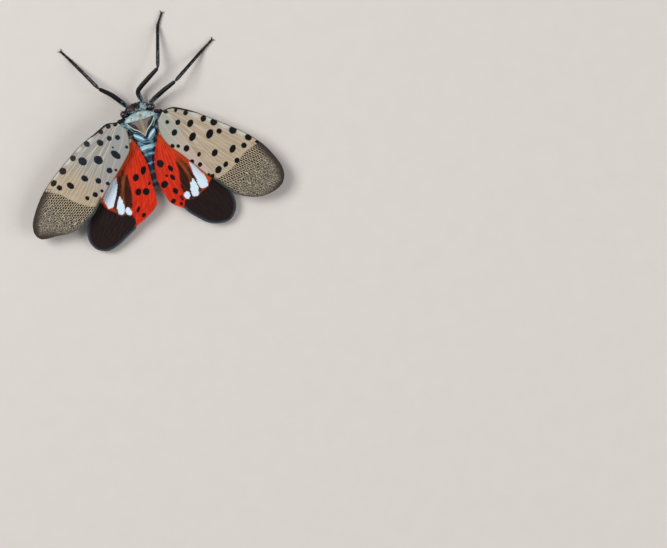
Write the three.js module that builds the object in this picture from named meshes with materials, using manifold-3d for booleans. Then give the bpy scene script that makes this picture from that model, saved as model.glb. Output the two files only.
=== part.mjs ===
// Spotted lanternfly, adult, wings spread, standing on its six feet.
// Millimetres. Before the last lines: x = 0 is the middle of the thorax, +Y is the
// head's side, +X is the insect's right, and z = 0 is the floor under the feet.

import * as THREE from "three";
import { mergeVertices } from "three/addons/utils/BufferGeometryUtils.js";
import Module from "manifold-3d";

const wasm = await Module();
wasm.setup();

// Driving sizes.
const GAP = 0.3;
const WING_THICKNESS = 0.5;
const VEIN_HEIGHT = 0.16;
const VEIN_HALF_WIDTH = 0.16;

const FOREWING_LENGTH = 21.2;
const FOREWING_BASE_Z = 4.45;
const FOREWING_FALL = 0.1;
const FOREWING_CAMBER = 0.014;

const RIGHT_HINDWING_LENGTH = 17.25;
const LEFT_HINDWING_LENGTH = 17.65;
const HINDWING_BASE_Z = 3.35;
const HINDWING_FALL = 0.13;

const THORAX_BOTTOM_Z = 1.6;
const THORAX_TOP_Z = 3.9;
const THORAX_FRONT_Y = 0.75;
const THORAX_BACK_Y = -3.35;
const NOTUM_THICKNESS = 0.62;

const PRONOTUM_FRONT_Y = 1.0;
const PRONOTUM_BACK_Y = -0.18;
const PRONOTUM_HALF_WIDTH = 2.5;
const PRONOTUM_TOP_Z = 5.0;

const MESONOTUM_FRONT_Y = PRONOTUM_BACK_Y - GAP;
const MESONOTUM_HALF_WIDTH = 2.4;
const SCUTELLUM_HALF_WIDTH = 2.1;
const SCUTELLUM_TIP_Y = -2.88;

const METANOTUM_HALF_WIDTH = 1.7;

const ABDOMEN_FRONT_Y = -3.8;
const ABDOMEN_TIP_Y = -11.2;
const ABDOMEN_BELLY_Z = 0.45;
const ABDOMEN_SEGMENTS = 8;
const ABDOMEN_STEP = 0.07;

const EYE_CENTRE = new THREE.Vector3(2.14, 1.3, 3.7);
const EYE_RADII = new THREE.Vector3(0.6, 0.6, 0.75);

const ANTENNA_CENTRE = new THREE.Vector3(1.75, 1.45, 2.2);
const ANTENNA_RADIUS = 0.42;

const FOOT_CENTRE_Z = 0.19;
const HEEL_CENTRE_Z = 0.27;

// Colours.
const BLACK = 0x17161a;
const DARK_BLUE = 0x1d2a38;
const PALE_TEAL = 0xa9bdb6;
const TAUPE = 0x8d7d70;
const WING_TAN = 0xc2a98a;
const WING_RED = 0xd8401f;
const ORANGE = 0xe2702a;
const EYE_BROWN = 0x2b1512;

// A smooth curve through a few hand-set [place, value] pairs.
function curveThrough(pairs) {
  const points = pairs.map(([place, value]) => new THREE.Vector2(place, value));
  return (place) => {
    const last = points.length - 1;
    if (place <= points[0].x) return points[0].y;
    if (place >= points[last].x) return points[last].y;
    let i = 0;
    while (place > points[i + 1].x) i += 1;
    const a = points[i];
    const b = points[i + 1];
    const before = points[Math.max(i - 1, 0)];
    const after = points[Math.min(i + 2, last)];
    const span = b.x - a.x;
    const t = (place - a.x) / span;
    const slopeA = ((b.y - before.y) / (b.x - before.x)) * span;
    const slopeB = ((after.y - a.y) / (after.x - a.x)) * span;
    const t2 = t * t;
    const t3 = t2 * t;
    return (2 * t3 - 3 * t2 + 1) * a.y + (t3 - 2 * t2 + t) * slopeA
      + (3 * t2 - 2 * t3) * b.y + (t3 - t2) * slopeB;
  };
}

function smoothMax(a, b, blend) {
  return (a + b + Math.sqrt((a - b) ** 2 + blend ** 2)) / 2;
}

function smoothStep(low, high, value) {
  return THREE.MathUtils.smoothstep(value, low, high);
}

// A closed body from rings of points, each ring running the same way round,
// closed by a fan at both ends.
function loft(rings) {
  const sides = rings[0].length;
  const positions = [];
  const index = [];
  for (const ring of rings) {
    for (const p of ring) positions.push(p.x, p.y, p.z);
  }
  for (let i = 0; i < rings.length - 1; i += 1) {
    for (let j = 0; j < sides; j += 1) {
      const a = i * sides + j;
      const b = i * sides + ((j + 1) % sides);
      index.push(a, b, b + sides, a, b + sides, a + sides);
    }
  }
  for (const [ringIndex, forward] of [[0, false], [rings.length - 1, true]]) {
    const centre = new THREE.Vector3();
    for (const p of rings[ringIndex]) centre.add(p);
    centre.divideScalar(sides);
    const middle = positions.length / 3;
    positions.push(centre.x, centre.y, centre.z);
    for (let j = 0; j < sides; j += 1) {
      const a = ringIndex * sides + j;
      const b = ringIndex * sides + ((j + 1) % sides);
      if (forward) index.push(a, b, middle);
      else index.push(b, a, middle);
    }
  }
  return facingOut(positions, index);
}

// A closed body over a grid of plan points, with a top and a bottom height at each.
// Both faces are split into triangles alike, so a thin curved body never crosses itself.
// A two-sided body turns its diagonals round past the middle row.
function slab(plan, topAt, bottomAt, twoSided = false) {
  const rows = plan.length;
  const columns = plan[0].length;
  const positions = [];
  for (const heightAt of [topAt, bottomAt]) {
    for (let i = 0; i < rows; i += 1) {
      for (let j = 0; j < columns; j += 1) {
        const p = plan[i][j];
        positions.push(p.x, p.y, heightAt(p, i, j));
      }
    }
  }
  const under = rows * columns;
  const index = [];
  for (let i = 0; i < rows - 1; i += 1) {
    for (let j = 0; j < columns - 1; j += 1) {
      const a = i * columns + j;
      const b = a + 1;
      const c = a + columns;
      const d = c + 1;
      const turned = twoSided && i >= (rows - 1) / 2;
      const split = turned ? [[a, b, c], [b, d, c]] : [[a, b, d], [a, d, c]];
      for (const [p, q, r] of split) {
        index.push(p, q, r);
        index.push(under + p, under + r, under + q);
      }
    }
  }
  const rim = [];
  for (let j = 0; j < columns - 1; j += 1) rim.push(j);
  for (let i = 0; i < rows - 1; i += 1) rim.push(i * columns + columns - 1);
  for (let j = columns - 1; j > 0; j -= 1) rim.push((rows - 1) * columns + j);
  for (let i = rows - 1; i > 0; i -= 1) rim.push(i * columns);
  for (let k = 0; k < rim.length; k += 1) {
    const a = rim[k];
    const b = rim[(k + 1) % rim.length];
    index.push(b, a, under + a, b, under + a, under + b);
  }
  return facingOut(positions, index);
}

function signedVolume(positions, index) {
  let volume = 0;
  const at = (i) => new THREE.Vector3(positions[3 * i], positions[3 * i + 1], positions[3 * i + 2]);
  for (let t = 0; t < index.length; t += 3) {
    volume += at(index[t]).dot(at(index[t + 1]).cross(at(index[t + 2]))) / 6;
  }
  return volume;
}

// An indexed geometry, its triangles turned round if they face in.
function facingOut(positions, index) {
  const turned = signedVolume(positions, index) < 0;
  const order = [];
  for (let t = 0; t < index.length; t += 3) {
    if (turned) order.push(index[t], index[t + 2], index[t + 1]);
    else order.push(index[t], index[t + 1], index[t + 2]);
  }
  const geometry = new THREE.BufferGeometry();
  geometry.setAttribute("position", new THREE.Float32BufferAttribute(positions, 3));
  geometry.setIndex(order);
  return geometry;
}

function mirrored(geometry) {
  const positions = Array.from(geometry.getAttribute("position").array);
  for (let i = 0; i < positions.length; i += 3) positions[i] = -positions[i];
  return facingOut(positions, Array.from(geometry.getIndex().array));
}

function ellipsoid(centre, radii, around, down) {
  const sphere = new THREE.SphereGeometry(1, around, down);
  sphere.deleteAttribute("normal");
  sphere.deleteAttribute("uv");
  sphere.rotateX(Math.PI / 2);
  sphere.scale(radii.x, radii.y, radii.z);
  sphere.translate(centre.x, centre.y, centre.z);
  return mergeVertices(sphere, 1e-4);
}

function solidOf(geometry) {
  const merged = mergeVertices(geometry, 1e-4);
  return new wasm.Manifold(new wasm.Mesh({
    numProp: 3,
    vertProperties: new Float32Array(merged.getAttribute("position").array),
    triVerts: new Uint32Array(merged.getIndex().array),
  }));
}

// The largest closed surface of a solid, as a geometry.
function largestOf(solid) {
  const pieces = solid.decompose();
  let best = pieces[0];
  for (const piece of pieces) {
    if (piece.volume() > best.volume()) best = piece;
  }
  const mesh = best.getMesh();
  return facingOut(Array.from(mesh.vertProperties), Array.from(mesh.triVerts));
}

function joined(geometries) {
  let solid = solidOf(geometries[0]);
  for (const geometry of geometries.slice(1)) solid = solid.add(solidOf(geometry));
  return largestOf(solid);
}

function cut(geometry, cutters) {
  let solid = solidOf(geometry);
  for (const cutter of cutters) solid = solid.subtract(solidOf(cutter));
  return largestOf(solid);
}

// A tapering limb along a smooth path. Each stop is [x, y, z, half thickness].
// Nothing of it goes below the floor, so a foot gets a flat sole.
function limb(stops, steps, sides) {
  const path = new THREE.CatmullRomCurve3(
    stops.map(([x, y, z]) => new THREE.Vector3(x, y, z)), false, "catmullrom", 0.3);
  const thickness = curveThrough(stops.map((stop, i) => [i, stop[3]]));
  const up = new THREE.Vector3(0, 0, 1);
  const rings = [];
  for (let i = 0; i <= steps; i += 1) {
    const t = i / steps;
    const centre = path.getPoint(t);
    const along = path.getTangent(t);
    const side = new THREE.Vector3().crossVectors(along, up).normalize();
    const lift = new THREE.Vector3().crossVectors(side, along).normalize();
    const radius = thickness(t * (stops.length - 1));
    const ring = [];
    for (let j = 0; j < sides; j += 1) {
      const angle = (2 * Math.PI * (j + 0.5)) / sides;
      const p = centre.clone();
      p.addScaledVector(side, radius * Math.cos(angle));
      p.addScaledVector(lift, radius * Math.sin(angle));
      p.z = Math.max(p.z, 0);
      ring.push(p);
    }
    rings.push(ring);
  }
  return loft(rings);
}

// Abdomen: its middle line, half width and half height at each place along Y.
const abdomenMiddleX = curveThrough([
  [-11.2, -0.88], [-10, -0.75], [-8.5, -0.7], [-7.4, -0.65], [-6, -0.55], [-4.5, -0.35], [-3.3, -0.1],
]);
const abdomenHalfWidth = curveThrough([
  [-11.2, 0.3], [-10.8, 0.62], [-10, 0.95], [-8.5, 1.3], [-6.5, 1.65], [-4.8, 1.75], [-3.8, 1.6],
]);
const abdomenHalfHeight = curveThrough([
  [-11.2, 0.25], [-10.8, 0.5], [-10, 0.75], [-8.5, 1.02], [-6.5, 1.28], [-4.8, 1.36], [-3.8, 1.2],
]);

function abdomenTop(x, y) {
  if (y > ABDOMEN_FRONT_Y || y < ABDOMEN_TIP_Y) return 0;
  const across = (x - abdomenMiddleX(y)) / (abdomenHalfWidth(y) + ABDOMEN_STEP);
  if (Math.abs(across) >= 1) return 0;
  const half = abdomenHalfHeight(y);
  return ABDOMEN_BELLY_Z + half + (half + ABDOMEN_STEP) * Math.sqrt(1 - across ** 2);
}

function abdomen() {
  const sides = 20;
  const perSegment = 3;
  const count = ABDOMEN_SEGMENTS * perSegment;
  const rings = [];
  for (let i = 0; i <= count; i += 1) {
    const y = THREE.MathUtils.lerp(ABDOMEN_FRONT_Y, ABDOMEN_TIP_Y, i / count);
    const within = (i % perSegment) / (perSegment - 1);
    const step = ABDOMEN_STEP * (within * 2 - 1) * smoothStep(0, 0.9, abdomenHalfWidth(y));
    const half = abdomenHalfHeight(y);
    const ring = [];
    for (let j = 0; j < sides; j += 1) {
      const angle = (2 * Math.PI * j) / sides;
      ring.push(new THREE.Vector3(
        abdomenMiddleX(y) + (abdomenHalfWidth(y) + step) * Math.cos(angle),
        y,
        ABDOMEN_BELLY_Z + half + (half + Math.min(step, 0.04)) * Math.sin(angle)));
    }
    rings.push(ring);
  }
  return loft(rings);
}

// One wing pair: a plan outline in the wing's own frame (u from the hinge to the tip,
// v towards the leading edge), vein lines as shares of the chord, and a height over
// the floor at each place.
class Wing {
  constructor({ hinge, fromTail, side, length, leading, trailing, veins, stations, heightAt }) {
    this.hinge = hinge;
    this.angle = THREE.MathUtils.degToRad(fromTail);
    this.side = side;
    this.length = length;
    this.leading = curveThrough(leading);
    this.trailing = curveThrough(trailing);
    this.veins = veins.map((pairs) => curveThrough(pairs));
    this.stations = stations;
    this.heightAt = heightAt;
  }

  planPoint(u, v) {
    const along = Math.sin(this.angle);
    const back = Math.cos(this.angle);
    return new THREE.Vector2(
      this.hinge.x + this.side * (u * along + v * back),
      this.hinge.y - u * back + v * along);
  }

  // The v of every grid column at u, and which columns are the crests of veins.
  columnsAt(u) {
    const low = this.trailing(u);
    const high = this.leading(u);
    const chord = high - low;
    const crests = this.veins.map((share) => low + chord * share(u));
    const lines = [{ v: low, crest: false }];
    const bounds = [low, ...crests, high];
    crests.forEach((v, k) => {
      const room = Math.min(v - bounds[k], bounds[k + 2] - v);
      const foot = Math.min(VEIN_HALF_WIDTH, 0.36 * room);
      lines.push({ v: v - foot, crest: false });
      lines.push({ v, crest: true });
      lines.push({ v: v + foot, crest: false });
    });
    lines.push({ v: high, crest: false });
    return lines;
  }

  geometry() {
    const us = this.stations.map((share) => share * this.length);
    const lines = us.map((u) => this.columnsAt(u));
    const plan = us.map((u, i) => lines[i].map(({ v }) => {
      const p = this.planPoint(u, v);
      p.u = u;
      p.v = v;
      return p;
    }));
    const half = WING_THICKNESS / 2;
    const middle = (p) => this.heightAt(p, p.u, p.v);
    const fade = (p) => 1 - 0.6 * smoothStep(0.8, 1, p.u / this.length);
    const top = (p, i, j) => middle(p) + half + (lines[i][j].crest ? VEIN_HEIGHT * fade(p) : 0);
    return slab(plan, top, (p) => middle(p) - half);
  }
}

const WING_STATIONS = [
  0, 0.03, 0.075, 0.14, 0.215, 0.3, 0.39, 0.48, 0.57, 0.66, 0.75, 0.83, 0.89, 0.935, 0.97, 0.99, 1,
];

const forewingShape = {
  length: FOREWING_LENGTH,
  stations: WING_STATIONS,
  leading: [
    [0, 0.35], [0.5, 1.0], [1.1, 1.5], [2.1, 1.87], [3.6, 2.23], [5.2, 2.48], [7.2, 2.65], [9.1, 2.8],
    [11, 2.93], [12.7, 3.0], [14.5, 2.88], [16, 2.65], [17.6, 2.13], [18.9, 1.58], [20, 0.95], [20.8, 0.1],
    [21.1, -0.6], [21.2, -1.15],
  ],
  trailing: [
    [0, -1.5], [0.7, -2.5], [1.5, -3.2], [2.7, -3.8], [3.9, -4.1], [5.3, -4.3], [7.9, -4.8], [10.2, -5.3],
    [11.6, -5.5], [12.7, -5.65], [13.9, -5.88], [15.2, -5.98], [16.3, -5.83], [17.7, -5.38], [19, -4.68],
    [19.9, -3.88], [20.6, -2.95], [21.05, -2.0], [21.2, -1.45],
  ],
  veins: [
    [[0, 0.3], [4, 0.14], [9, 0.06], [21.2, 0.1]],
    [[0, 0.56], [5.7, 0.29], [8.4, 0.17], [11.4, 0.14], [21.2, 0.26]],
    [[0, 0.68], [6, 0.5], [12, 0.4], [21.2, 0.44]],
    [[0, 0.79], [6, 0.68], [12, 0.63], [21.2, 0.63]],
    [[0, 0.9], [6, 0.87], [12, 0.84], [21.2, 0.82]],
  ],
  heightAt: (p, u, v) => FOREWING_BASE_Z - FOREWING_FALL * u - FOREWING_CAMBER * (v + 1) ** 2,
};

// The left forewing is rolled forward about its length, so it looks narrower from above.
const LEFT_FOREWING_ROLL = 0.045;
const leftForewingShape = {
  ...forewingShape,
  leading: [
    [0, 0.35], [0.5, 0.85], [1.2, 1.45], [2.4, 1.73], [3.6, 1.95], [5.1, 2.3], [6.2, 2.5], [7.6, 2.6], [9.1, 2.65],
    [11, 2.7], [12.7, 2.7], [14.5, 2.55], [16, 2.3], [17.6, 1.85], [18.9, 1.35], [20, 0.8], [20.8, 0.05],
    [21.1, -0.5], [21.2, -0.95],
  ],
  trailing: [
    [0, -1.5], [0.8, -2.6], [1.55, -3.3], [2.2, -3.8], [3.4, -4.1], [5, -4.37], [6.4, -4.54], [8, -4.67],
    [9.7, -4.91], [10.9, -5.12], [12.5, -5.5], [13.1, -5.57], [14.1, -5.5], [15.4, -5.37], [16.7, -5.0],
    [17.6, -4.52], [18.5, -3.85], [19.3, -3.15], [20.1, -2.6], [20.7, -2.1], [21.1, -1.6], [21.2, -1.25],
  ],
  heightAt: (p, u, v) => forewingShape.heightAt(p, u, v) - LEFT_FOREWING_ROLL * Math.max(v, 0) ** 2,
};

const hindwingShape = {
  stations: WING_STATIONS,
  veins: [
    [[0, 0.2], [8, 0.16], [17.65, 0.12]],
    [[0, 0.36], [8, 0.34], [17.65, 0.3]],
    [[0, 0.52], [8, 0.51], [17.65, 0.48]],
    [[0, 0.68], [8, 0.67], [17.65, 0.66]],
    [[0, 0.84], [8, 0.83], [17.65, 0.84]],
  ],
  // The wing lies over the flank of the abdomen and is lifted clear of it there.
  heightAt: (p, u) => smoothMax(
    HINDWING_BASE_Z - HINDWING_FALL * u,
    abdomenTop(p.x, p.y) + GAP + WING_THICKNESS / 2 + 0.05,
    0.2),
};

const rightHindwingShape = {
  ...hindwingShape,
  length: RIGHT_HINDWING_LENGTH,
  leading: [
    [0, 0.2], [2, 1.1], [5, 2], [8, 2.55], [11, 2.85], [13, 2.97], [14.3, 2.93], [15.2, 2.72], [16.1, 2.25],
    [16.7, 1.67], [17.1, 0.95], [17.25, 0.3],
  ],
  trailing: [
    [0, -0.5], [1, -1.35], [1.9, -2.35], [3, -3.35], [4.3, -4.25], [5.4, -4.8], [6.7, -5.15], [8.2, -5.4],
    [9.4, -5.5], [10.3, -5.2], [11.1, -4.68], [11.7, -4.3], [12.4, -4.2], [13.4, -3.85], [14.3, -3.45],
    [15.3, -2.98], [16, -2.45], [16.6, -1.75], [17.05, -0.9], [17.2, -0.35], [17.25, 0],
  ],
};
const leftHindwingShape = {
  ...hindwingShape,
  length: LEFT_HINDWING_LENGTH,
  leading: [
    [0, 0.2], [2, 1.1], [5, 2], [8, 2.55], [11, 2.8], [12.1, 2.92], [13, 3.0], [14, 3.05], [14.9, 2.98],
    [15.8, 2.77], [16.6, 2.35], [17.2, 1.75], [17.55, 1.05], [17.65, 0.5],
  ],
  trailing: [
    [0, -0.5], [1.1, -1.7], [2.6, -3.1], [4, -4.05], [5.4, -4.75], [6.6, -5.4], [7.8, -6.07], [8.7, -6.4],
    [9.7, -6.14], [10.6, -5.66], [11.5, -5.1], [12.15, -4.6], [12.7, -4.25], [13.2, -4.15], [13.7, -3.88],
    [14.5, -3.36], [15.6, -2.7], [16.4, -2.12], [17.1, -1.45], [17.5, -0.75], [17.65, -0.05],
  ],
};

const wings = {
  forewing_right: new Wing({
    ...forewingShape, side: 1, hinge: new THREE.Vector2(3.43, -0.09), fromTail: 46.2,
  }),
  forewing_left: new Wing({
    ...leftForewingShape, side: -1, hinge: new THREE.Vector2(-3.3, 0.2), fromTail: 55.5,
  }),
  hindwing_right: new Wing({
    ...rightHindwingShape, side: 1, hinge: new THREE.Vector2(2.35, -2.6), fromTail: 20.7,
  }),
  hindwing_left: new Wing({
    ...leftHindwingShape, side: -1, hinge: new THREE.Vector2(-2.4, -2.4), fromTail: 30.9,
  }),
};

// Plates of the back: a front and a back edge for each x, a top height for each place.
function backPlate({ halfWidth, frontAt, backAt, topAt, across, along }) {
  const plan = [];
  for (let i = 0; i <= across; i += 1) {
    const x = halfWidth * ((2 * i) / across - 1);
    const column = [];
    for (let j = 0; j <= along; j += 1) {
      const y = THREE.MathUtils.lerp(backAt(Math.abs(x)), frontAt(Math.abs(x)), j / along);
      column.push(new THREE.Vector2(x, y));
    }
    plan.push(column);
  }
  const top = (p) => topAt(Math.abs(p.x), p.y);
  return slab(plan, top, (p) => top(p) - NOTUM_THICKNESS, true);
}

function pronotum() {
  return backPlate({
    halfWidth: PRONOTUM_HALF_WIDTH,
    frontAt: curveThrough([[0, PRONOTUM_FRONT_Y], [0.9, 0.9], [1.8, 0.52], [2.5, 0.2]]),
    backAt: () => PRONOTUM_BACK_Y,
    topAt: (x, y) => PRONOTUM_TOP_Z - 0.13 * x ** 2 - 0.35 * Math.max(y - 0.2, 0)
      + 0.12 * Math.exp(-((x / 0.2) ** 2)),
    across: 20,
    along: 4,
  });
}

const mesonotumBackAt = curveThrough([
  [0, SCUTELLUM_TIP_Y], [0.3, -2.62], [0.6, -2.2], [1.1, -1.8], [1.7, -1.6], [2.0, -1.15], [2.4, -0.6],
]);

function mesonotum() {
  const slope = (MESONOTUM_FRONT_Y - SCUTELLUM_TIP_Y) / SCUTELLUM_HALF_WIDTH;
  return backPlate({
    halfWidth: MESONOTUM_HALF_WIDTH,
    frontAt: () => MESONOTUM_FRONT_Y,
    backAt: mesonotumBackAt,
    topAt: (x, y) => {
      const insideScutellum = y - (SCUTELLUM_TIP_Y + slope * x);
      return 4.72 - 0.07 * x ** 2 + 0.2 * smoothStep(-0.25, 0.1, insideScutellum)
        - 0.1 * Math.max(-y - 1, 0);
    },
    across: 22,
    along: 6,
  });
}

function metanotum() {
  const frontAt = curveThrough([[0, -3.28], [0.3, -3.04], [0.6, -2.62], [1.1, -2.2], [1.7, -2.0]]);
  const backAt = curveThrough([[0, -3.78], [0.5, -3.7], [1.1, -3.3], [1.7, -2.6]]);
  return backPlate({
    halfWidth: METANOTUM_HALF_WIDTH,
    frontAt,
    backAt,
    topAt: (x, y) => {
      const share = (y - backAt(x)) / (frontAt(x) - backAt(x));
      const crescent = Math.exp(-(((share - 0.5) / 0.25) ** 2)) * smoothStep(0.1, 0.5, x);
      return 4.3 - 0.05 * x ** 2 + 0.4 * (y + 2.6) + 0.14 * crescent;
    },
    across: 16,
    along: 4,
  });
}

// The deep middle of the thorax, under the plates of the back.
function thorax() {
  const sides = 20;
  const steps = 10;
  const halfWidth = curveThrough([[-3.35, 1.2], [-2.9, 1.65], [-2, 2.0], [-0.6, 2.3], [0.3, 2.2], [0.75, 1.8]]);
  const top = curveThrough([[-3.35, 2.9], [-2.9, 3.2], [-2, 3.55], [-0.6, THORAX_TOP_Z], [0.3, 3.85], [0.75, 3.4]]);
  const bottom = curveThrough([[-3.35, 1.9], [-2, THORAX_BOTTOM_Z], [0.3, THORAX_BOTTOM_Z], [0.75, 1.9]]);
  const rings = [];
  for (let i = 0; i <= steps; i += 1) {
    const y = THREE.MathUtils.lerp(THORAX_FRONT_Y, THORAX_BACK_Y, i / steps);
    const ring = [];
    for (let j = 0; j < sides; j += 1) {
      const angle = (2 * Math.PI * j) / sides;
      const c = Math.cos(angle);
      const s = Math.sin(angle);
      const middle = (top(y) + bottom(y)) / 2;
      const half = (top(y) - bottom(y)) / 2;
      ring.push(new THREE.Vector3(
        halfWidth(y) * Math.sign(c) * Math.abs(c) ** 0.75,
        y,
        middle + half * Math.sign(s) * Math.abs(s) ** 0.75));
    }
    rings.push(ring);
  }
  return loft(rings);
}

// The head: ovals stacked from the mouth to the crown, with a socket for each eye.
function head() {
  const sides = 24;
  const steps = 13;
  const low = 1.55;
  const high = 4.6;
  const halfWidth = curveThrough([[1.55, 0.3], [1.9, 0.5], [2.4, 0.95], [3, 1.5], [3.6, 1.9], [4.1, 1.9], [4.45, 1.6], [4.6, 1.1]]);
  const front = curveThrough([[1.55, 1.75], [2, 2.1], [2.6, 2.4], [3.2, 2.5], [3.8, 2.48], [4.3, 2.3], [4.6, 1.95]]);
  const back = curveThrough([[1.55, 1.2], [2, 1.1], [2.6, 1.1], [3.4, 1.1], [4.1, 1.3], [4.6, 1.4]]);
  const rings = [];
  for (let i = 0; i <= steps; i += 1) {
    const z = THREE.MathUtils.lerp(low, high, i / steps);
    const middle = (front(z) + back(z)) / 2;
    const half = (front(z) - back(z)) / 2;
    const ring = [];
    for (let j = 0; j < sides; j += 1) {
      const angle = (2 * Math.PI * j) / sides;
      const c = Math.cos(angle);
      const s = Math.sin(angle);
      ring.push(new THREE.Vector3(
        halfWidth(z) * Math.sign(c) * Math.abs(c) ** 0.8,
        middle + half * Math.sign(s) * Math.abs(s) ** 0.8,
        z));
    }
    rings.push(ring);
  }
  const sockets = [];
  for (const side of [1, -1]) {
    const centre = EYE_CENTRE.clone();
    centre.x *= side;
    sockets.push(ellipsoid(centre, EYE_RADII.clone().addScalar(GAP), 14, 10));
  }
  return cut(loft(rings), sockets);
}

function antennaRight() {
  const { x, y, z } = ANTENNA_CENTRE;
  const bulb = ellipsoid(ANTENNA_CENTRE, new THREE.Vector3(1, 1, 1.05).multiplyScalar(ANTENNA_RADIUS), 12, 8);
  const bristle = limb([
    [x + 0.1, y + 0.1, z, 0.26],
    [x + 0.5, y + 0.42, z, 0.18],
    [x + 0.95, y + 0.8, z, 0.06],
  ], 4, 7);
  return joined([bulb, bristle]);
}

function rostrum() {
  return limb([
    [0, 1.75, 1.0, 0.24],
    [0, 0.9, 0.95, 0.27],
    [0, -0.9, 0.9, 0.25],
    [0, -2.4, 0.85, 0.16],
  ], 8, 8);
}

// The small domed scale over a forewing's hinge, fused to the wing.
function hingeCap(wing) {
  const place = wing.planPoint(0.5, 0.3);
  const centre = new THREE.Vector3(place.x, place.y, FOREWING_BASE_Z + 0.12);
  return ellipsoid(centre, new THREE.Vector3(0.42, 0.4, 0.34), 10, 7);
}

// Legs. The thigh's path runs from the root under the thorax to the knee, and the shin's
// goes on down to the heel and along the floor to the toe.
const FEMUR_THICKNESS = { root: 0.34, trochanter: 0.29, middle: 0.36, knee: 0.27 };
const TIBIA_THICKNESS = { knee: 0.25, middle: 0.25, heel: 0.26, toe: 0.25 };

const legs = {
  foreleg_left: {
    path: [[-0.95, 0.45, 1.0], [-1.62, 2.7, 1.15], [-3.0, 4.6, 1.95], [-4.64, 6.15, 2.7]],
    heel: [-7.42, 11.38], toe: [-8.51, 13.22],
  },
  foreleg_right: {
    path: [[0.95, 0.45, 1.0], [1.02, 2.6, 1.1], [0.96, 4.1, 1.45], [2.85, 5.4, 2.15], [4.85, 6.57, 2.7]],
    heel: [6.75, 12.8], toe: [7.86, 14.42],
  },
  midleg_left: {
    path: [[-1.15, -0.3, 1.0], [-2.3, -0.5, 1.3], [-4.1, -1.35, 2.0], [-5.9, -2.2, 2.7]],
    heel: [-11.2, -5.3], toe: [-13.0, -6.4],
  },
  midleg_right: {
    path: [[1.6, -0.4, 1.0], [2.32, 1.9, 1.2], [4.4, 2.95, 2.0], [6.76, 3.87, 2.7]],
    heel: [12.15, 7.22], toe: [14.0, 8.31],
  },
  hindleg_left: {
    path: [[-1.0, -1.9, 1.0], [-2.0, -2.9, 1.1], [-3.1, -4.3, 1.45], [-4.2, -5.6, 1.8]],
    heel: [-6.4, -12.2], toe: [-7.6, -13.9], spines: 4,
  },
  hindleg_right: {
    path: [[1.0, -1.9, 1.0], [2.0, -2.9, 1.1], [3.15, -4.15, 1.45], [4.3, -5.4, 1.8]],
    heel: [5.6, -12.2], toe: [6.3, -14.2], spines: 4,
  },
};

function between(a, b, share) {
  return a.map((value, i) => value + (b[i] - value) * share);
}

function femur({ path }) {
  const t = FEMUR_THICKNESS;
  const thick = path.map((stop, i) => (i === 1 ? t.trochanter : t.middle));
  thick[0] = t.root;
  thick[path.length - 1] = t.knee;
  return limb(path.map((stop, i) => [...stop, thick[i]]), 4 * (path.length - 1), 8);
}

// The shin and foot start a gap beyond the knee and end in two small claws. A hind shin
// has a row of side spines.
function tibia(leg) {
  const t = TIBIA_THICKNESS;
  const knee = leg.path[leg.path.length - 1];
  const heel = [...leg.heel, HEEL_CENTRE_Z];
  const toe = [...leg.toe, FOOT_CENTRE_Z];
  const sole = between(heel, toe, 0.3);
  sole[2] = FOOT_CENTRE_Z;
  const reach = new THREE.Vector3(...heel).distanceTo(new THREE.Vector3(...knee));
  const start = between(knee, heel, (GAP + 0.19) / reach);
  const shin = limb([
    [...start, t.knee],
    [...between(start, heel, 0.5), t.middle],
    [...between(start, heel, 0.97), t.heel],
    [...sole, t.toe],
    [...between(sole, toe, 0.5), t.toe],
    [...toe, t.toe],
  ], 15, 8);
  const pieces = [shin, ...claws(heel, toe)];
  for (let i = 1; i <= (leg.spines ?? 0); i += 1) {
    pieces.push(shinSpine(between(start, heel, 0.14 + (0.8 * i) / (leg.spines + 1)), start, heel));
  }
  return joined(pieces);
}

// A point ahead of and beside another, seen from above.
function beside(from, forward, ahead, aside, z) {
  return [from[0] + forward.x * ahead - forward.y * aside, from[1] + forward.y * ahead + forward.x * aside, z];
}

function claws(heel, toe) {
  const forward = new THREE.Vector2(toe[0] - heel[0], toe[1] - heel[1]).normalize();
  return [1, -1].map((side) => limb([
    [...beside(toe, forward, -0.3, 0.02 * side, 0.24), 0.2],
    [...beside(toe, forward, 0.14, 0.26 * side, 0.2), 0.15],
    [...beside(toe, forward, 0.32, 0.42 * side, 0.1), 0.07],
  ], 3, 6));
}

// Spines stand on the outer side of the shin and lean towards the foot.
function shinSpine(place, start, heel) {
  const forward = new THREE.Vector2(heel[0] - start[0], heel[1] - start[1]).normalize();
  const outward = -Math.sign(place[0]) * Math.sign(forward.y);
  const z = place[2];
  return limb([
    [...beside(place, forward, -0.08, 0.02 * outward, z), 0.15],
    [...beside(place, forward, 0.1, 0.3 * outward, z + 0.02), 0.12],
    [...beside(place, forward, 0.24, 0.56 * outward, z), 0.04],
  ], 2, 5);
}

const lanternfly = new THREE.Group();

function addPart(name, geometry, color, roughness) {
  const material = new THREE.MeshStandardMaterial({ color, roughness, metalness: 0 });
  const mesh = new THREE.Mesh(geometry, material);
  mesh.name = name;
  lanternfly.add(mesh);
}

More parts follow.
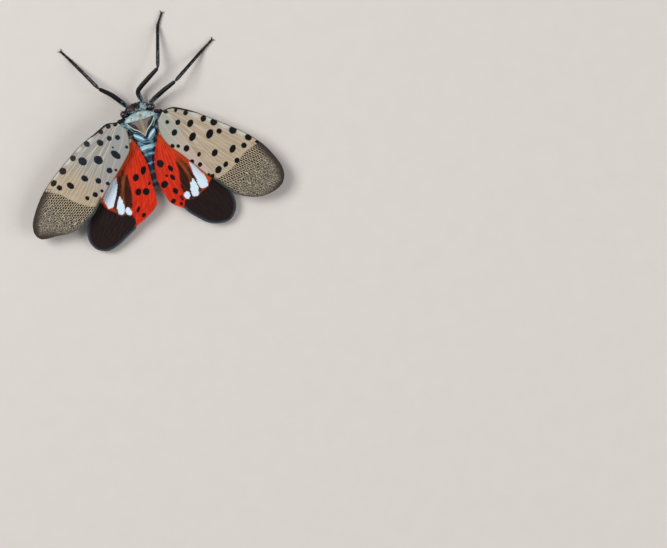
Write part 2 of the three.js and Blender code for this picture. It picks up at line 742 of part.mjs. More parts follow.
addPart("head", head(), BLACK, 0.5);
const eyeRight = ellipsoid(EYE_CENTRE, EYE_RADII, 16, 12);
addPart("eye_right", eyeRight, EYE_BROWN, 0.25);
addPart("eye_left", mirrored(eyeRight), EYE_BROWN, 0.25);
const antenna = antennaRight();
addPart("antenna_right", antenna, ORANGE, 0.45);
addPart("antenna_left", mirrored(antenna), ORANGE, 0.45);
addPart("rostrum", rostrum(), BLACK, 0.5);
addPart("pronotum", pronotum(), PALE_TEAL, 0.6);
addPart("mesonotum", mesonotum(), TAUPE, 0.6);
addPart("metanotum", metanotum(), PALE_TEAL, 0.6);
addPart("thorax", thorax(), DARK_BLUE, 0.55);
addPart("abdomen", abdomen(), DARK_BLUE, 0.55);
for (const name of ["forewing_right", "forewing_left"]) {
  addPart(name, joined([wings[name].geometry(), hingeCap(wings[name])]), WING_TAN, 0.55);
}
for (const name of ["hindwing_right", "hindwing_left"]) {
  addPart(name, wings[name].geometry(), WING_RED, 0.55);
}
for (const [name, leg] of Object.entries(legs)) {
  addPart(`${name}_femur`, femur(leg), BLACK, 0.45);
  addPart(`${name}_tibia`, tibia(leg), BLACK, 0.45);
}

// The origin goes to the middle of the whole insect's box, on the floor.
const box = new THREE.Box3().setFromObject(lanternfly);
const middle = box.getCenter(new THREE.Vector3());
lanternfly.position.set(-middle.x, -middle.y, -box.min.z);
lanternfly.updateMatrixWorld(true);

export default lanternfly;
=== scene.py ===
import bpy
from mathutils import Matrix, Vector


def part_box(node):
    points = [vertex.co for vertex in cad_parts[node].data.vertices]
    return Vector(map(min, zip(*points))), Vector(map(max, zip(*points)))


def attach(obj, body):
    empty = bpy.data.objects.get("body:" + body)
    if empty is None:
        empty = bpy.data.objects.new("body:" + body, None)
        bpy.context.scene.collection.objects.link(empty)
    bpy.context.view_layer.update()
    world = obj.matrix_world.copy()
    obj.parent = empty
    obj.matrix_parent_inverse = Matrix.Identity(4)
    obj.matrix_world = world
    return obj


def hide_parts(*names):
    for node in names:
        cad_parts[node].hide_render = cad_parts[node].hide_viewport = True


bl_info = {
    "name": "Spotted Lanternfly Model",
    "version": (1, 0, 0),
    "blender": (4, 5, 0),
    "location": "View3D > Sidebar > Lanternfly",
    "description": "Builds a life-size display model of a spotted lanternfly with its wings spread",
    "category": "Add Mesh",
}

import math
import random

import bmesh
import bpy
from mathutils import Matrix, Vector

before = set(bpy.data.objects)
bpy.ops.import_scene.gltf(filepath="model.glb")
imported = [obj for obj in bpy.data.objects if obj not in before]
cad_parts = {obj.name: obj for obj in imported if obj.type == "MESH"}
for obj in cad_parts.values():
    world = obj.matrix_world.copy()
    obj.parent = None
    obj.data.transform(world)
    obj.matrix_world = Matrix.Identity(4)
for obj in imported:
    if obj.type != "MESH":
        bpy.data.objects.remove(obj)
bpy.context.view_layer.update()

# Sizes are in millimetres in the insect's own frame: x = 0 is the middle of the thorax,
# y = 0 lies just ahead of the pronotum's hind edge, z = 0 is the floor, +x is its right.
MM = 0.001
PRONOTUM_LOW, PRONOTUM_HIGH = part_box("pronotum")
PRONOTUM_BACK_Y = -0.18
MIDDLE_X = (PRONOTUM_LOW.x + PRONOTUM_HIGH.x) / 2
ZERO_Y = PRONOTUM_LOW.y - PRONOTUM_BACK_Y * MM
TO_FRAME = Matrix.Translation((MIDDLE_X, ZERO_Y, 0)) @ Matrix.Scale(MM, 4)

# Wings. u runs from the hinge to the tip and v towards the leading edge.
FOREWING_LENGTH = 21.2
FOREWING_BASE_Z = 4.45
FOREWING_FALL = 0.1
FOREWING_CAMBER = 0.014
RIGHT_FOREWING_LEADING = [
    (0, 0.35), (0.5, 1.0), (1.1, 1.5), (2.1, 1.87), (3.6, 2.23), (5.2, 2.48), (7.2, 2.65), (9.1, 2.8),
    (11, 2.93), (12.7, 3.0), (14.5, 2.88), (16, 2.65), (17.6, 2.13), (18.9, 1.58), (20, 0.95),
    (20.8, 0.1), (21.1, -0.6), (21.2, -1.15),
]
RIGHT_FOREWING_TRAILING = [
    (0, -1.5), (0.7, -2.5), (1.5, -3.2), (2.7, -3.8), (3.9, -4.1), (5.3, -4.3), (7.9, -4.8), (10.2, -5.3),
    (11.6, -5.5), (12.7, -5.65), (13.9, -5.88), (15.2, -5.98), (16.3, -5.83), (17.7, -5.38), (19, -4.68),
    (19.9, -3.88), (20.6, -2.95), (21.05, -2.0), (21.2, -1.3),
]
LEFT_FOREWING_ROLL = 0.045
LEFT_FOREWING_LEADING = [
    (0, 0.35), (0.5, 0.85), (1.2, 1.45), (2.4, 1.73), (3.6, 1.95), (5.1, 2.3), (6.2, 2.5), (7.6, 2.6),
    (9.1, 2.65), (11, 2.7), (12.7, 2.7), (14.5, 2.55), (16, 2.3), (17.6, 1.85), (18.9, 1.35), (20, 0.8),
    (20.8, 0.05), (21.1, -0.5), (21.2, -0.95),
]
LEFT_FOREWING_TRAILING = [
    (0, -1.5), (0.8, -2.6), (1.55, -3.3), (2.2, -3.8), (3.4, -4.1), (5, -4.37), (6.4, -4.54), (8, -4.67),
    (9.7, -4.91), (10.9, -5.12), (12.5, -5.5), (13.1, -5.57), (14.1, -5.5), (15.4, -5.37), (16.7, -5.0),
    (17.6, -4.52), (18.5, -3.85), (19.3, -3.15), (20.1, -2.6), (20.7, -2.1), (21.1, -1.6), (21.2, -1.1),
]
# The claval suture is u and v, and one vein runs between it and the hind edge. Stems of the
# other veins are shares of the chord, each with the number of branches it fans into.
RIGHT_CLAVAL_SUTURE = [
    (0, 0.2), (1.28, 0.07), (3.5, -1.15), (5.69, -2.39), (8.35, -3.76), (11.37, -4.96), (12.6, -5.7),
]
LEFT_CLAVAL_SUTURE = [
    (0, 0.2), (1.04, -0.14), (1.75, -0.29), (3.44, -0.94), (5.23, -1.81), (6.44, -2.36), (8.97, -3.69),
    (11.13, -5.13), (12, -5.8),
]
FOREWING_STEMS = [
    ([(0, 0.72), (2, 0.6), (6, 0.42), (9, 0.29), (12, 0.2), (21.2, 0.22)], 3),
    ([(0, 0.76), (2, 0.68), (6, 0.54), (12, 0.42), (21.2, 0.42)], 3),
    ([(0, 0.82), (6, 0.71), (12, 0.64), (21.2, 0.62)], 3),
    ([(0, 0.9), (6, 0.87), (12, 0.84), (21.2, 0.82)], 2),
]
CLAVUS_VEIN = 0.45
BRANCH_START = 3.5
BRANCH_END = 11.0
BRANCH_SPREAD = 0.07
NETWORK_BORDER = [
    (-6, 11.3), (-5.08, 11.73), (-3.81, 12.45), (-2.66, 12.93), (-1.27, 13.29), (0.42, 13.64),
    (2.0, 14.5), (3.2, 15.3),
]
# Each spot is u, v, and its half sizes along u and v.
RIGHT_FOREWING_SPOTS = [
    (1.69, 1.26, 0.2, 0.27), (3.2, 1.57, 0.32, 0.35), (5.99, 2.02, 0.38, 0.47),
    (7.63, 2.25, 0.49, 0.51), (10.79, 2.48, 0.54, 0.57), (13.39, 2.56, 0.51, 0.43),
    (14.9, 2.57, 0.27, 0.2), (1.35, -0.91, 0.27, 0.27), (2.79, -0.23, 0.34, 0.4),
    (4.54, 0.48, 0.4, 0.57), (5.76, -1.17, 0.43, 0.67), (7.89, 0.39, 0.47, 0.7),
    (8.99, 1.4, 0.38, 0.38), (3.03, -1.84, 0.38, 0.47), (3.68, -3.78, 0.3, 0.27),
    (4.47, -3.41, 0.24, 0.24), (5.74, -3.15, 0.4, 0.47), (7.84, -3.11, 0.24, 0.34),
    (9.87, -1.83, 0.4, 0.54), (12.04, -0.06, 0.4, 0.61), (13.34, 1.17, 0.4, 0.4),
    (8.68, -4.42, 0.3, 0.34), (7.38, -4.53, 0.3, 0.27), (12.16, -2.64, 0.3, 0.43),
    (11.54, -3.86, 0.43, 0.57), (11.16, -5.14, 0.27, 0.34), (10.55, -5.19, 0.16, 0.2),
    (13.4, -1.34, 0.34, 0.4),
]
LEFT_FOREWING_SPOTS = [
    (1.29, 0.99, 0.33, 0.38), (2.64, 1.39, 0.34, 0.38), (5.39, 1.85, 0.4, 0.45), (4.0, 0.41, 0.42, 0.5),
    (2.62, -0.26, 0.33, 0.38), (1.73, -1.14, 0.33, 0.38), (7.85, 0.75, 0.55, 0.66),
    (6.22, -0.98, 0.58, 0.7), (2.02, -3.11, 0.2, 0.23), (3.36, -1.51, 0.11, 0.13),
    (3.95, -2.54, 0.45, 0.8), (6.42, -3.28, 0.38, 0.43), (5.77, -4.0, 0.17, 0.19),
    (8.69, -2.94, 0.38, 0.43), (8.12, -4.3, 0.25, 0.28), (9.56, -4.3, 0.2, 0.23),
    (10.64, -3.87, 0.34, 0.38), (11.81, -3.25, 0.27, 0.31), (8.4, 2.15, 0.42, 0.4),
    (10.9, 2.15, 0.5, 0.5), (13.2, 2.1, 0.48, 0.4), (11.9, -0.1, 0.4, 0.58), (9.7, -1.1, 0.4, 0.52),
    (13.2, 1.0, 0.36, 0.4),
]
PALE_COSTAL_PATCHES = [
    (9.2, 2.6, 0.9, 0.5), (12.1, 2.75, 0.8, 0.45), (6.8, 2.4, 0.5, 0.4), (4.6, 2.0, 0.9, 0.35),
]
# How grey a forewing is near its root, and the u where the grey starts to fade and where it ends.
# On the left wing the grey is painted shade that covers most of the wing.
RIGHT_FOREWING_GREY = (0.3, 1, 6)
LEFT_FOREWING_GREY_SHADE = (0.75, 7, 12)

RIGHT_HINDWING_LENGTH = 17.25
LEFT_HINDWING_LENGTH = 17.65
HINDWING_BASE_Z = 3.35
HINDWING_FALL = 0.13
HINDWING_OVER_ABDOMEN = 0.6
HINDWING_BLEND = 0.2
RIGHT_HINDWING_LEADING = [
    (0, 0.2), (2, 1.1), (5, 2), (8, 2.55), (11, 2.85), (13, 2.97), (14.3, 2.93), (15.2, 2.72), (16.1, 2.25),
    (16.7, 1.67), (17.1, 0.95), (17.25, 0.3),
]
RIGHT_HINDWING_TRAILING = [
    (0, -0.5), (1, -1.35), (1.9, -2.35), (3, -3.35), (4.3, -4.25), (5.4, -4.8), (6.7, -5.15), (8.2, -5.4),
    (9.4, -5.5), (10.3, -5.2), (11.1, -4.68), (11.7, -4.3), (12.4, -4.2), (13.4, -3.85), (14.3, -3.45),
    (15.3, -2.98), (16, -2.45), (16.6, -1.75), (17.05, -0.9), (17.2, -0.35), (17.25, 0.1),
]
LEFT_HINDWING_LEADING = [
    (0, 0.2), (2, 1.1), (5, 2), (8, 2.55), (11, 2.8), (12.1, 2.92), (13, 3.0), (14, 3.05), (14.9, 2.98),
    (15.8, 2.77), (16.6, 2.35), (17.2, 1.75), (17.55, 1.05), (17.65, 0.5),
]
LEFT_HINDWING_TRAILING = [
    (0, -0.5), (1.1, -1.7), (2.6, -3.1), (4, -4.05), (5.4, -4.75), (6.6, -5.4), (7.8, -6.07), (8.7, -6.4),
    (9.7, -6.14), (10.6, -5.66), (11.5, -5.1), (12.15, -4.6), (12.7, -4.25), (13.2, -4.15), (13.7, -3.88),
    (14.5, -3.36), (15.6, -2.7), (16.4, -2.12), (17.1, -1.45), (17.5, -0.75), (17.65, 0.2),
]
# The v that each long vein of the hindwing fans out to, and over what length it does.
HINDWING_VEINS = [3.2, 2.6, 1.9, 1.2, 0.4, -0.5, -1.5, -2.6, -3.8, -5.1, -6.6, -8.2]
HINDWING_FAN = 8.0
RIGHT_HINDWING_SPOTS = [
    (3.98, -3.07, 0.56, 0.5), (5.51, -2.23, 0.47, 0.28), (6.79, -2.83, 0.43, 0.26),
    (6.88, -4.49, 0.47, 0.56), (8.7, -3.76, 0.43, 0.33), (6.03, -3.39, 0.17, 0.17),
    (9.73, -4.95, 0.29, 0.36), (10.77, -4.22, 0.21, 0.21),
]
LEFT_HINDWING_SPOTS = [
    (4.19, -3.17, 0.6, 0.37), (5.53, -2.32, 0.5, 0.41), (5.88, -4.53, 0.23, 0.14), (7.57, -3.21, 0.5, 0.41),
    (7.24, -4.35, 0.5, 0.5), (10.19, -3.85, 0.41, 0.19), (10.81, -4.86, 0.32, 0.28),
]
# A streak is a chain of u, v and half width.
RIGHT_WHITE_STREAKS = [
    [(6.6, 0.6, 0.08), (8.2, 0.53, 0.45), (9.6, 0.46, 0.72), (10.4, 0.3, 0.68)],
    [(8.9, -0.55, 0.12), (9.5, -0.95, 0.44), (10.2, -1.3, 0.6), (10.8, -1.6, 0.5)],
    [(10.2, -2.72, 0.44), (10.35, -2.76, 0.44)],
]
LEFT_WHITE_STREAKS = [
    [(6.4, 0.55, 0.1), (7.5, 0.65, 0.52), (9.0, 0.75, 0.85), (9.7, 0.8, 0.88), (10.5, 0.45, 0.56)],
    [(9.0, -0.65, 0.1), (9.8, -0.95, 0.4), (10.5, -1.2, 0.54), (11.1, -1.4, 0.46)],
    [(10.65, -2.3, 0.38), (10.95, -2.65, 0.38)],
]
RIGHT_BROWN_STREAKS = [
    [(5.3, -0.95, 0.1), (6.5, -1.1, 0.36), (7.8, -1.5, 0.62), (8.9, -2.0, 0.75), (9.8, -2.3, 0.62),
     (10.8, -2.3, 0.5)],
    [(6.4, 0.1, 0.08), (7.6, -0.15, 0.18), (9.2, -0.5, 0.16), (10.8, -0.7, 0.2)],
    [(9.86, -3.59, 0.2), (10.4, -3.7, 0.2)],
]
LEFT_BROWN_STREAKS = [
    [(6.2, 0.1, 0.2), (7.5, -0.2, 0.38), (8.9, -0.4, 0.28), (10.8, -0.35, 0.16)],
    [(5.6, -0.9, 0.16), (7.3, -1.45, 0.5), (8.8, -1.95, 0.62), (9.9, -2.3, 0.55), (10.6, -2.2, 0.4)],
]
RIGHT_RUST_STREAKS = [
    [(5.0, -0.6, 0.2), (6.3, -0.35, 0.5), (8.2, -0.6, 0.8), (9.6, -1.0, 1.0), (11.2, -1.4, 1.3)],
]
LEFT_RUST_STREAKS = [
    [(5.2, -0.2, 0.3), (6.8, -0.5, 0.8), (8.6, -0.9, 0.9), (10.2, -1.1, 1.1), (11.3, -1.3, 1.2)],
]
RIGHT_BLACK_BORDER = [
    (-5.6, 13.2), (-4.33, 11.6), (-3.62, 10.85), (-3.2, 10.75), (-2.77, 11.05), (-2.13, 11.35),
    (-1.29, 11.35), (-0.53, 11.25), (0.46, 11.15), (1.55, 10.6), (3, 10.3),
]
LEFT_BLACK_BORDER = [
    (-6, 15), (-4.6, 13.6), (-4.18, 13.04), (-3.92, 11.97), (-3.19, 11.3), (-2.34, 11.32), (-1.61, 11.79),
    (-1.01, 11.65), (0.01, 11.34), (0.81, 11.16), (1.92, 10.49), (3, 10.2),
]

# The grids of the wings, crowded towards the tips, and the marks that their materials read.
FOREWING_GRID = (230, 110)
HINDWING_GRID = (200, 105)
TIP_CROWDING = 0.7
VEIN_HALF_WIDTH = 0.08
RIM_HALF_WIDTH = 0.12
PLEATS = 11
PLEAT_HEIGHT = 0.015
WING_MARKS = ("marks", "more_marks", "tones")

# Plates of the back.
PLATE_THICKNESS = 0.2
PRONOTUM_HALF_WIDTH = 2.5
PRONOTUM_FRONT = [(0, 1.12), (0.9, 1.03), (1.8, 0.7), (2.5, 0.28)]
PRONOTUM_BACK = [(0, PRONOTUM_BACK_Y - 0.1), (2.5, PRONOTUM_BACK_Y)]
PRONOTUM_TOP_Z = 5.0
PRONOTUM_DOTS = [(-1.25, 0.41, 0.11, 0.1), (1.74, 0.3, 0.1, 0.1)]
MESONOTUM_HALF_WIDTH = 2.4
MESONOTUM_TOP_Z = 4.72
MESONOTUM_FRONT = [(0, -0.05), (2.4, -0.05)]
MESONOTUM_BACK = [
    (0, -2.88), (0.3, -2.62), (0.6, -2.2), (1.1, -1.8), (1.7, -1.6), (2.0, -1.15), (2.4, -0.6),
]
SCUTELLUM_HALF_WIDTH = 2.1
SCUTELLUM_FRONT_Y = -0.32
SCUTELLUM_TIP_Y = -2.8
METANOTUM_HALF_WIDTH = 1.7
METANOTUM_TOP_Z = 4.22
METANOTUM_FRONT = [(0, -2.9), (0.3, -2.7), (0.6, -2.3), (1.1, -1.9), (1.7, -1.7)]
METANOTUM_BACK = [(0, -3.78), (0.5, -3.7), (1.1, -3.3), (1.7, -2.6)]

# Thorax.
THORAX_FRONT_Y = 0.9
THORAX_BACK_Y = -3.7
THORAX_HALF_WIDTH = [(-3.7, 1.2), (-2.9, 1.7), (-2, 2.05), (-0.6, 2.3), (0.3, 2.2), (0.9, 1.8)]
THORAX_TOP = [(-3.7, 3.2), (-2.9, 3.75), (-2, 4.2), (-0.6, 4.3), (0.3, 4.35), (0.9, 4.1)]
THORAX_BOTTOM = [(-3.7, 1.6), (-2, 1.2), (0.3, 1.2), (0.9, 1.5)]
THORAX_SEAMS = (-0.6, -2.0)
WAIST_CENTRE = Vector((-0.15, -3.35, 2.35))
WAIST_RADII = (1.8, 0.95, 0.95)
HINDWING_SOCKET = (2.1, -1.7)

# Abdomen. A band is its y and half width.
ABDOMEN_FRONT_Y = -3.5
ABDOMEN_TIP_Y = -11.2
ABDOMEN_BELLY_Z = 0.45
ABDOMEN_SEGMENT_ENDS = [-3.5, -4.75, -6.0, -7.2, -8.35, -9.3, -10.1, -10.7, -11.2]
ABDOMEN_MIDDLE_X = [
    (-11.2, -0.88), (-10, -0.75), (-8.5, -0.7), (-7.4, -0.65), (-6, -0.55), (-4.5, -0.35), (-3.3, -0.1),
]
ABDOMEN_HALF_WIDTH = [
    (-11.2, 0.3), (-10.8, 0.62), (-10, 0.95), (-8.5, 1.3), (-6.5, 1.65), (-4.8, 1.75), (-3.8, 1.6),
]
ABDOMEN_HALF_HEIGHT = [
    (-11.2, 0.25), (-10.8, 0.5), (-10, 0.75), (-8.5, 1.02), (-6.5, 1.28), (-4.8, 1.36), (-3.8, 1.2),
]
ABDOMEN_STEP = 0.07
PALE_BANDS = [(-4.35, 0.5), (-5.55, 0.16), (-6.87, 0.13)]
GREY_BANDS = [(-8.28, 0.22), (-9.68, 0.22), (-10.75, 0.3)]

# Head.
HEAD_LOW = 1.55
HEAD_HIGH = 4.6
HEAD_HALF_WIDTH = [
    (1.55, 0.3), (1.9, 0.5), (2.4, 0.95), (3, 1.5), (3.6, 1.85), (4.1, 1.85), (4.45, 1.6), (4.6, 1.2),
]
HEAD_FRONT = [(1.55, 1.75), (2, 2.1), (2.6, 2.4), (3.2, 2.5), (3.8, 2.48), (4.3, 2.3), (4.6, 1.95)]
HEAD_BACK = [
    (1.55, 1.1), (2, 0.8), (2.6, 0.6), (3.4, 0.5), (3.9, 0.6), (4.2, 0.85), (4.4, 1.0), (4.6, 1.25),
]
EYE_CENTRE = Vector((2.14, 1.3, 3.7))
EYE_RADII = Vector((0.6, 0.6, 0.75))
EYE_BEADS = 36
EYE_BEAD_RADII = (0.12, 0.065, 0.065)
EYE_RING_X = 1.76
EYE_RING = (0.55, 0.69)
# Height above which the head carries wax and a painted sheen.
HEAD_WAX_AND_SHEEN_Z = 4.2
HEAD_REDDISH_Z = 3.6
ANTENNA_CENTRE = Vector((1.75, 1.45, 2.2))
ANTENNA_RADIUS = 0.42
# Each joint is a chain of x, y, z and half width.
ROSTRUM_JOINTS = [
    [(0, 1.75, 1.02, 0.22), (0, 1.2, 0.98, 0.26), (0, 0.5, 0.95, 0.22)],
    [(0, 0.6, 0.95, 0.2), (0, -0.3, 0.92, 0.23), (0, -1.1, 0.9, 0.19)],
    [(0, -1.0, 0.9, 0.17), (0, -1.7, 0.88, 0.17), (0, -2.4, 0.85, 0.09)],
]

# Legs. A thigh's path runs from the root under the thorax to the knee, the shin runs
# on to the heel, and the foot lies along the floor to the toe.
LEGS = {
    "foreleg_left": (
        [(-0.95, 0.45, 1.0), (-1.62, 2.7, 1.15), (-3.0, 4.6, 1.95), (-4.64, 6.15, 2.7)],
        (-7.42, 11.38), (-8.51, 13.22)),
    "foreleg_right": (
        [(0.95, 0.45, 1.0), (1.02, 2.6, 1.1), (0.96, 4.1, 1.45), (2.85, 5.4, 2.15), (4.85, 6.57, 2.7)],
        (6.75, 12.8), (7.86, 14.42)),
    "midleg_left": (
        [(-1.15, -0.3, 1.0), (-2.3, -0.5, 1.3), (-4.1, -1.35, 2.0), (-5.9, -2.2, 2.7)],
        (-11.2, -5.3), (-13.0, -6.4)),
    "midleg_right": (
        [(1.6, -0.4, 1.0), (2.32, 1.9, 1.2), (4.4, 2.95, 2.0), (6.76, 3.87, 2.7)],
        (12.15, 7.22), (14.0, 8.31)),
    "hindleg_left": (
        [(-1.0, -1.9, 1.0), (-2.0, -2.9, 1.1), (-3.1, -4.3, 1.45), (-4.2, -5.6, 1.8)],
        (-6.4, -12.2), (-7.6, -13.9)),
    "hindleg_right": (
        [(1.0, -1.9, 1.0), (2.0, -2.9, 1.1), (3.15, -4.15, 1.45), (4.3, -5.4, 1.8)],
        (5.6, -12.2), (6.3, -14.2)),
}
HEEL_Z = 0.27
TOE_Z = 0.19
THIGH_HALF_WIDTH = 0.36
KNEE_HALF_WIDTH = 0.3
# The shin is a share of the way down it and the half width there. A joint of the foot is
# where it starts and ends between heel and toe, and its half width.
SHIN_BULGES = [(0.12, 0.27), (0.55, 0.25), (0.93, 0.24), (1.0, 0.26)]
FOOT_JOINTS = [(-0.12, 0.36, 0.22), (0.28, 0.6, 0.2), (0.5, 0.97, 0.18)]
HEEL_SPURS = 6
SPUR_LENGTH = 0.26
SPUR_RADIUS = 0.05
SHIN_SPINES = 4
SPINE_LENGTH = 0.55
SPINE_RADIUS = 0.085
HAIR_RADIUS = 0.016
HAIR_ROOT = 0.23
FLOOR_GAP = 0.004
LIMB_CROWDING = 0.9

# How much wax the black pieces carry. On the hips, thighs and shins the pale wax also
# stands for painted sheen. On a thigh it thins out away from the root.
TEGULA_WAX = -0.35
ROSTRUM_WAX = -0.4
ANTENNA_BRISTLE_WAX = -0.5
HIP_WAX_AND_SHEEN = 0.05
THIGH_WAX_AND_SHEEN = 0.1
THIGH_WAX_AND_SHEEN_FALL = 0.25
THIGH_WAX_AND_SHEEN_REACH = 2.2
SHIN_WAX_AND_SHEEN = -0.32

# Colours a user would change: each is its name, label, description and default.
COLOURS = [
    ("tan", "Forewing", "Tan of the forewings", "#BCA98F"),
    ("red", "Hindwing", "Red of the hindwings", "#E03217"),
    ("teal", "Pronotum", "Waxy grey-teal of the pronotum", "#B5CCCB"),
    ("taupe", "Scutellum", "Taupe of the scutellum", "#7E7168"),
    # The crescents' pale blue is partly a painted highlight.
    ("blue", "Crescents", "Pale blue of the crescents behind the scutellum", "#77A8C2"),
    ("dark_blue", "Flanks", "Blue-black of the thorax", "#1F3444"),
    ("black", "Legs and Head", "Black of the legs and head", "#0C0C0D"),
    ("orange", "Antennae", "Orange of the antennae", "#EE6A24"),
    ("eye", "Eyes", "Dark brown of the eyes", "#120A0A"),
]

# Camera, floor and lights.
PHOTO_WIDTH = 667
PHOTO_HEIGHT = 548
PIXELS_PER_MM = 6.62
INSECT_PIXEL = (139.2, 117.4)
PHOTO_TURN = math.radians(17)
LENS = 150.0
SENSOR = 36.0
LOOK_Z = 4.0
CAMERA_Y = -1.0
CAMERA_SET_BACK = 1.006
FLOOR_RADIUS = 1.5
WORLD_STRENGTH = 0.26
# Each light is its name, its place and size in metres, and its watts.
LIGHTS = [("key_light", (-0.3, 0.25, 0.45), 0.3, 2.7), ("fill_light", (0.4, -0.25, 0.35), 0.4, 1.5)]


def linear(hex_colour, alpha=1.0):
    """An sRGB hex colour as a linear one."""
    channels = []
    for start in (1, 3, 5):
        share = int(hex_colour[start:start + 2], 16) / 255
        channels.append(share / 12.92 if share <= 0.04045 else ((share + 0.055) / 1.055) ** 2.4)
    return (*channels, alpha)


def curve_through(pairs):
    """A smooth curve through a few given (place, value) pairs."""
    def value_at(place):
        last = len(pairs) - 1
        if place <= pairs[0][0]:
            return pairs[0][1]
        if place >= pairs[last][0]:
            return pairs[last][1]
        i = 0
        while place > pairs[i + 1][0]:
            i += 1
        a, b = pairs[i], pairs[i + 1]
        before, after = pairs[max(i - 1, 0)], pairs[min(i + 2, last)]
        span = b[0] - a[0]
        t = (place - a[0]) / span
        slope_a = (b[1] - before[1]) / (b[0] - before[0]) * span
        slope_b = (after[1] - a[1]) / (after[0] - a[0]) * span
        t2, t3 = t * t, t * t * t
        return ((2 * t3 - 3 * t2 + 1) * a[1] + (t3 - 2 * t2 + t) * slope_a
                + (3 * t2 - 2 * t3) * b[1] + (t3 - t2) * slope_b)
    return value_at


def smooth_step(low, high, value):
    """0 up to the low value, 1 from the high one, and a smooth rise between."""
    share = min(max((value - low) / (high - low), 0), 1)
    return share * share * (3 - 2 * share)


def smooth_max(a, b, blend):
    """The higher of two heights, blended where they meet."""
    return (a + b + math.sqrt((a - b) ** 2 + blend ** 2)) / 2


def signed_power(value, power):
    """A power that keeps the sign, which squares off a round section."""
    return math.copysign(abs(value) ** power, value)


def crowded(share, amount):
    """A share from 0 to 1, its stations crowded towards both ends."""
    return share - amount * math.sin(2 * math.pi * share) / (2 * math.pi)


def rounded_end(to_end, steepness):
    """The share of its full thickness that a form has at a distance from its rounded end."""
    return math.sqrt(max(1 - math.exp(-steepness * to_end), 0))


def ridge(distance, half_width):
    """The height, 1 at most, of a rounded ridge at a distance from its line."""
    return math.exp(-(distance / half_width) ** 2)


def inside_spots(u, v, spots):
    """How far a place lies inside the nearest oval, in mm; negative outside."""
    best = -9.0
    for spot_u, spot_v, half_u, half_v in spots:
        reach = math.hypot((u - spot_u) / half_u, (v - spot_v) / half_v)
        best = max(best, (1 - reach) * min(half_u, half_v))
    return best


def inside_streaks(u, v, streaks):
    """How far a place lies inside the nearest chain of rounded strokes, in mm."""
    best = -9.0
    for chain in streaks:
        for (u0, v0, r0), (u1, v1, r1) in zip(chain, chain[1:]):
            du, dv = u1 - u0, v1 - v0
            t = min(max(((u - u0) * du + (v - v0) * dv) / (du * du + dv * dv), 0), 1)
            best = max(best, r0 + (r1 - r0) * t - math.hypot(u - u0 - t * du, v - v0 - t * dv))
    return best


# Shapes.
def drawn_out(bm, around, along, place):
    """A closed form from a UV sphere: place(share, angle) gives each point from end to end."""
    made = bmesh.ops.create_uvsphere(bm, u_segments=around, v_segments=along, radius=1)["verts"]
    for vert in made:
        x, y, z = vert.co
        share = math.acos(min(max(-z, -1), 1)) / math.pi
        vert.co = place(share, math.atan2(y, x))
    return made


def oval(bm, centre, radii, around, along):
    matrix = Matrix.Translation(centre) @ Matrix.Diagonal((*radii, 1))
    return bmesh.ops.create_uvsphere(
        bm, u_segments=around, v_segments=along, radius=1, matrix=matrix)["verts"]


class Path:
    """A smooth path through stops of (x, y, z, half thickness), measured along its length."""

    SAMPLES = 60

    def __init__(self, stops):
        self.points = [Vector(stop[:3]) for stop in stops]
        self.thickness = curve_through([(i, stop[3]) for i, stop in enumerate(stops)])
        self.places = [self.at_stop(i / self.SAMPLES * (len(stops) - 1)) for i in range(self.SAMPLES + 1)]
        self.lengths = [0.0]
        for a, b in zip(self.places, self.places[1:]):
            self.lengths.append(self.lengths[-1] + (b - a).length)
        self.length = self.lengths[-1]

    def at_stop(self, t):
        last = len(self.points) - 1
        i = min(int(t), last - 1)
        f = t - i
        a, b = self.points[i], self.points[i + 1]
        before = self.points[i - 1] if i else a - (b - a)
        after = self.points[i + 2] if i + 2 <= last else b + (b - a)
        slope_a, slope_b = (b - before) * 0.4, (after - a) * 0.4
        f2, f3 = f * f, f * f * f
        return (a * (2 * f3 - 3 * f2 + 1) + slope_a * (f3 - 2 * f2 + f)
                + b * (3 * f2 - 2 * f3) + slope_b * (f3 - f2))

    def at(self, share):
        """The point, the direction, and the half thickness at a share of the length."""
        goal = share * self.length
        i = 0
        while i < self.SAMPLES - 1 and self.lengths[i + 1] < goal:
            i += 1
        span = self.lengths[i + 1] - self.lengths[i]
        f = (goal - self.lengths[i]) / span
        point = self.places[i].lerp(self.places[i + 1], f)
        before = self.places[max(i - 1, 0)]
        after = self.places[min(i + 2, self.SAMPLES)]
        t = (i + f) / self.SAMPLES * (len(self.points) - 1)
        return point, (after - before).normalized(), self.thickness(t)


def limb(bm, stops, around, along, flatten=1.0, ridges=0.0):
    """A tapering limb with rounded ends. Nothing of it goes below the floor."""
    path = Path(stops)

    def place(share, angle):
        t = crowded(share, LIMB_CROWDING)
        centre, direction, radius = path.at(t)
        side = direction.cross(Vector((0, 0, 1))).normalized()
        lift = side.cross(direction)
        radius *= rounded_end(min(t, 1 - t) * path.length, 2 / radius)
        radius *= 1 + ridges * math.cos(4 * angle)
        point = centre + side * (radius * math.cos(angle)) + lift * (radius * flatten * math.sin(angle))
        point.z = max(point.z, FLOOR_GAP)
        return point

    return drawn_out(bm, around, along, place)


def hair(bm, root, direction, length, radius):
    """One bristle: a slim pointed cone."""
    turn = direction.to_track_quat("Z", "Y").to_matrix().to_4x4()
    matrix = Matrix.Translation(root + direction * (length / 2)) @ turn
    bmesh.ops.create_cone(
        bm, segments=5, radius1=radius, radius2=radius * 0.15, depth=length, cap_ends=True, matrix=matrix)


def sheet(bm, columns, rows):
    """A flat grid, as a list of its points, each with its shares from 0 to 1 along both sides."""
    made = bmesh.ops.create_grid(bm, x_segments=columns, y_segments=rows, size=1)["verts"]
    return [(vert, (vert.co.x + 1) / 2, (vert.co.y + 1) / 2) for vert in made]


def fields(bm, name, values_at):
    """Gives each point three numbers that its material reads, most of them mm inside a marking."""
    layer = bm.verts.layers.float_vector.get(name) or bm.verts.layers.float_vector.new(name)
    for vert in bm.verts:
        vert[layer] = values_at(vert.co)


def waxed(bm, wax):
    """The same film of wax all over a black piece, with nothing reddish on it."""
    fields(bm, "bloom", lambda co: (wax, -1, 0))


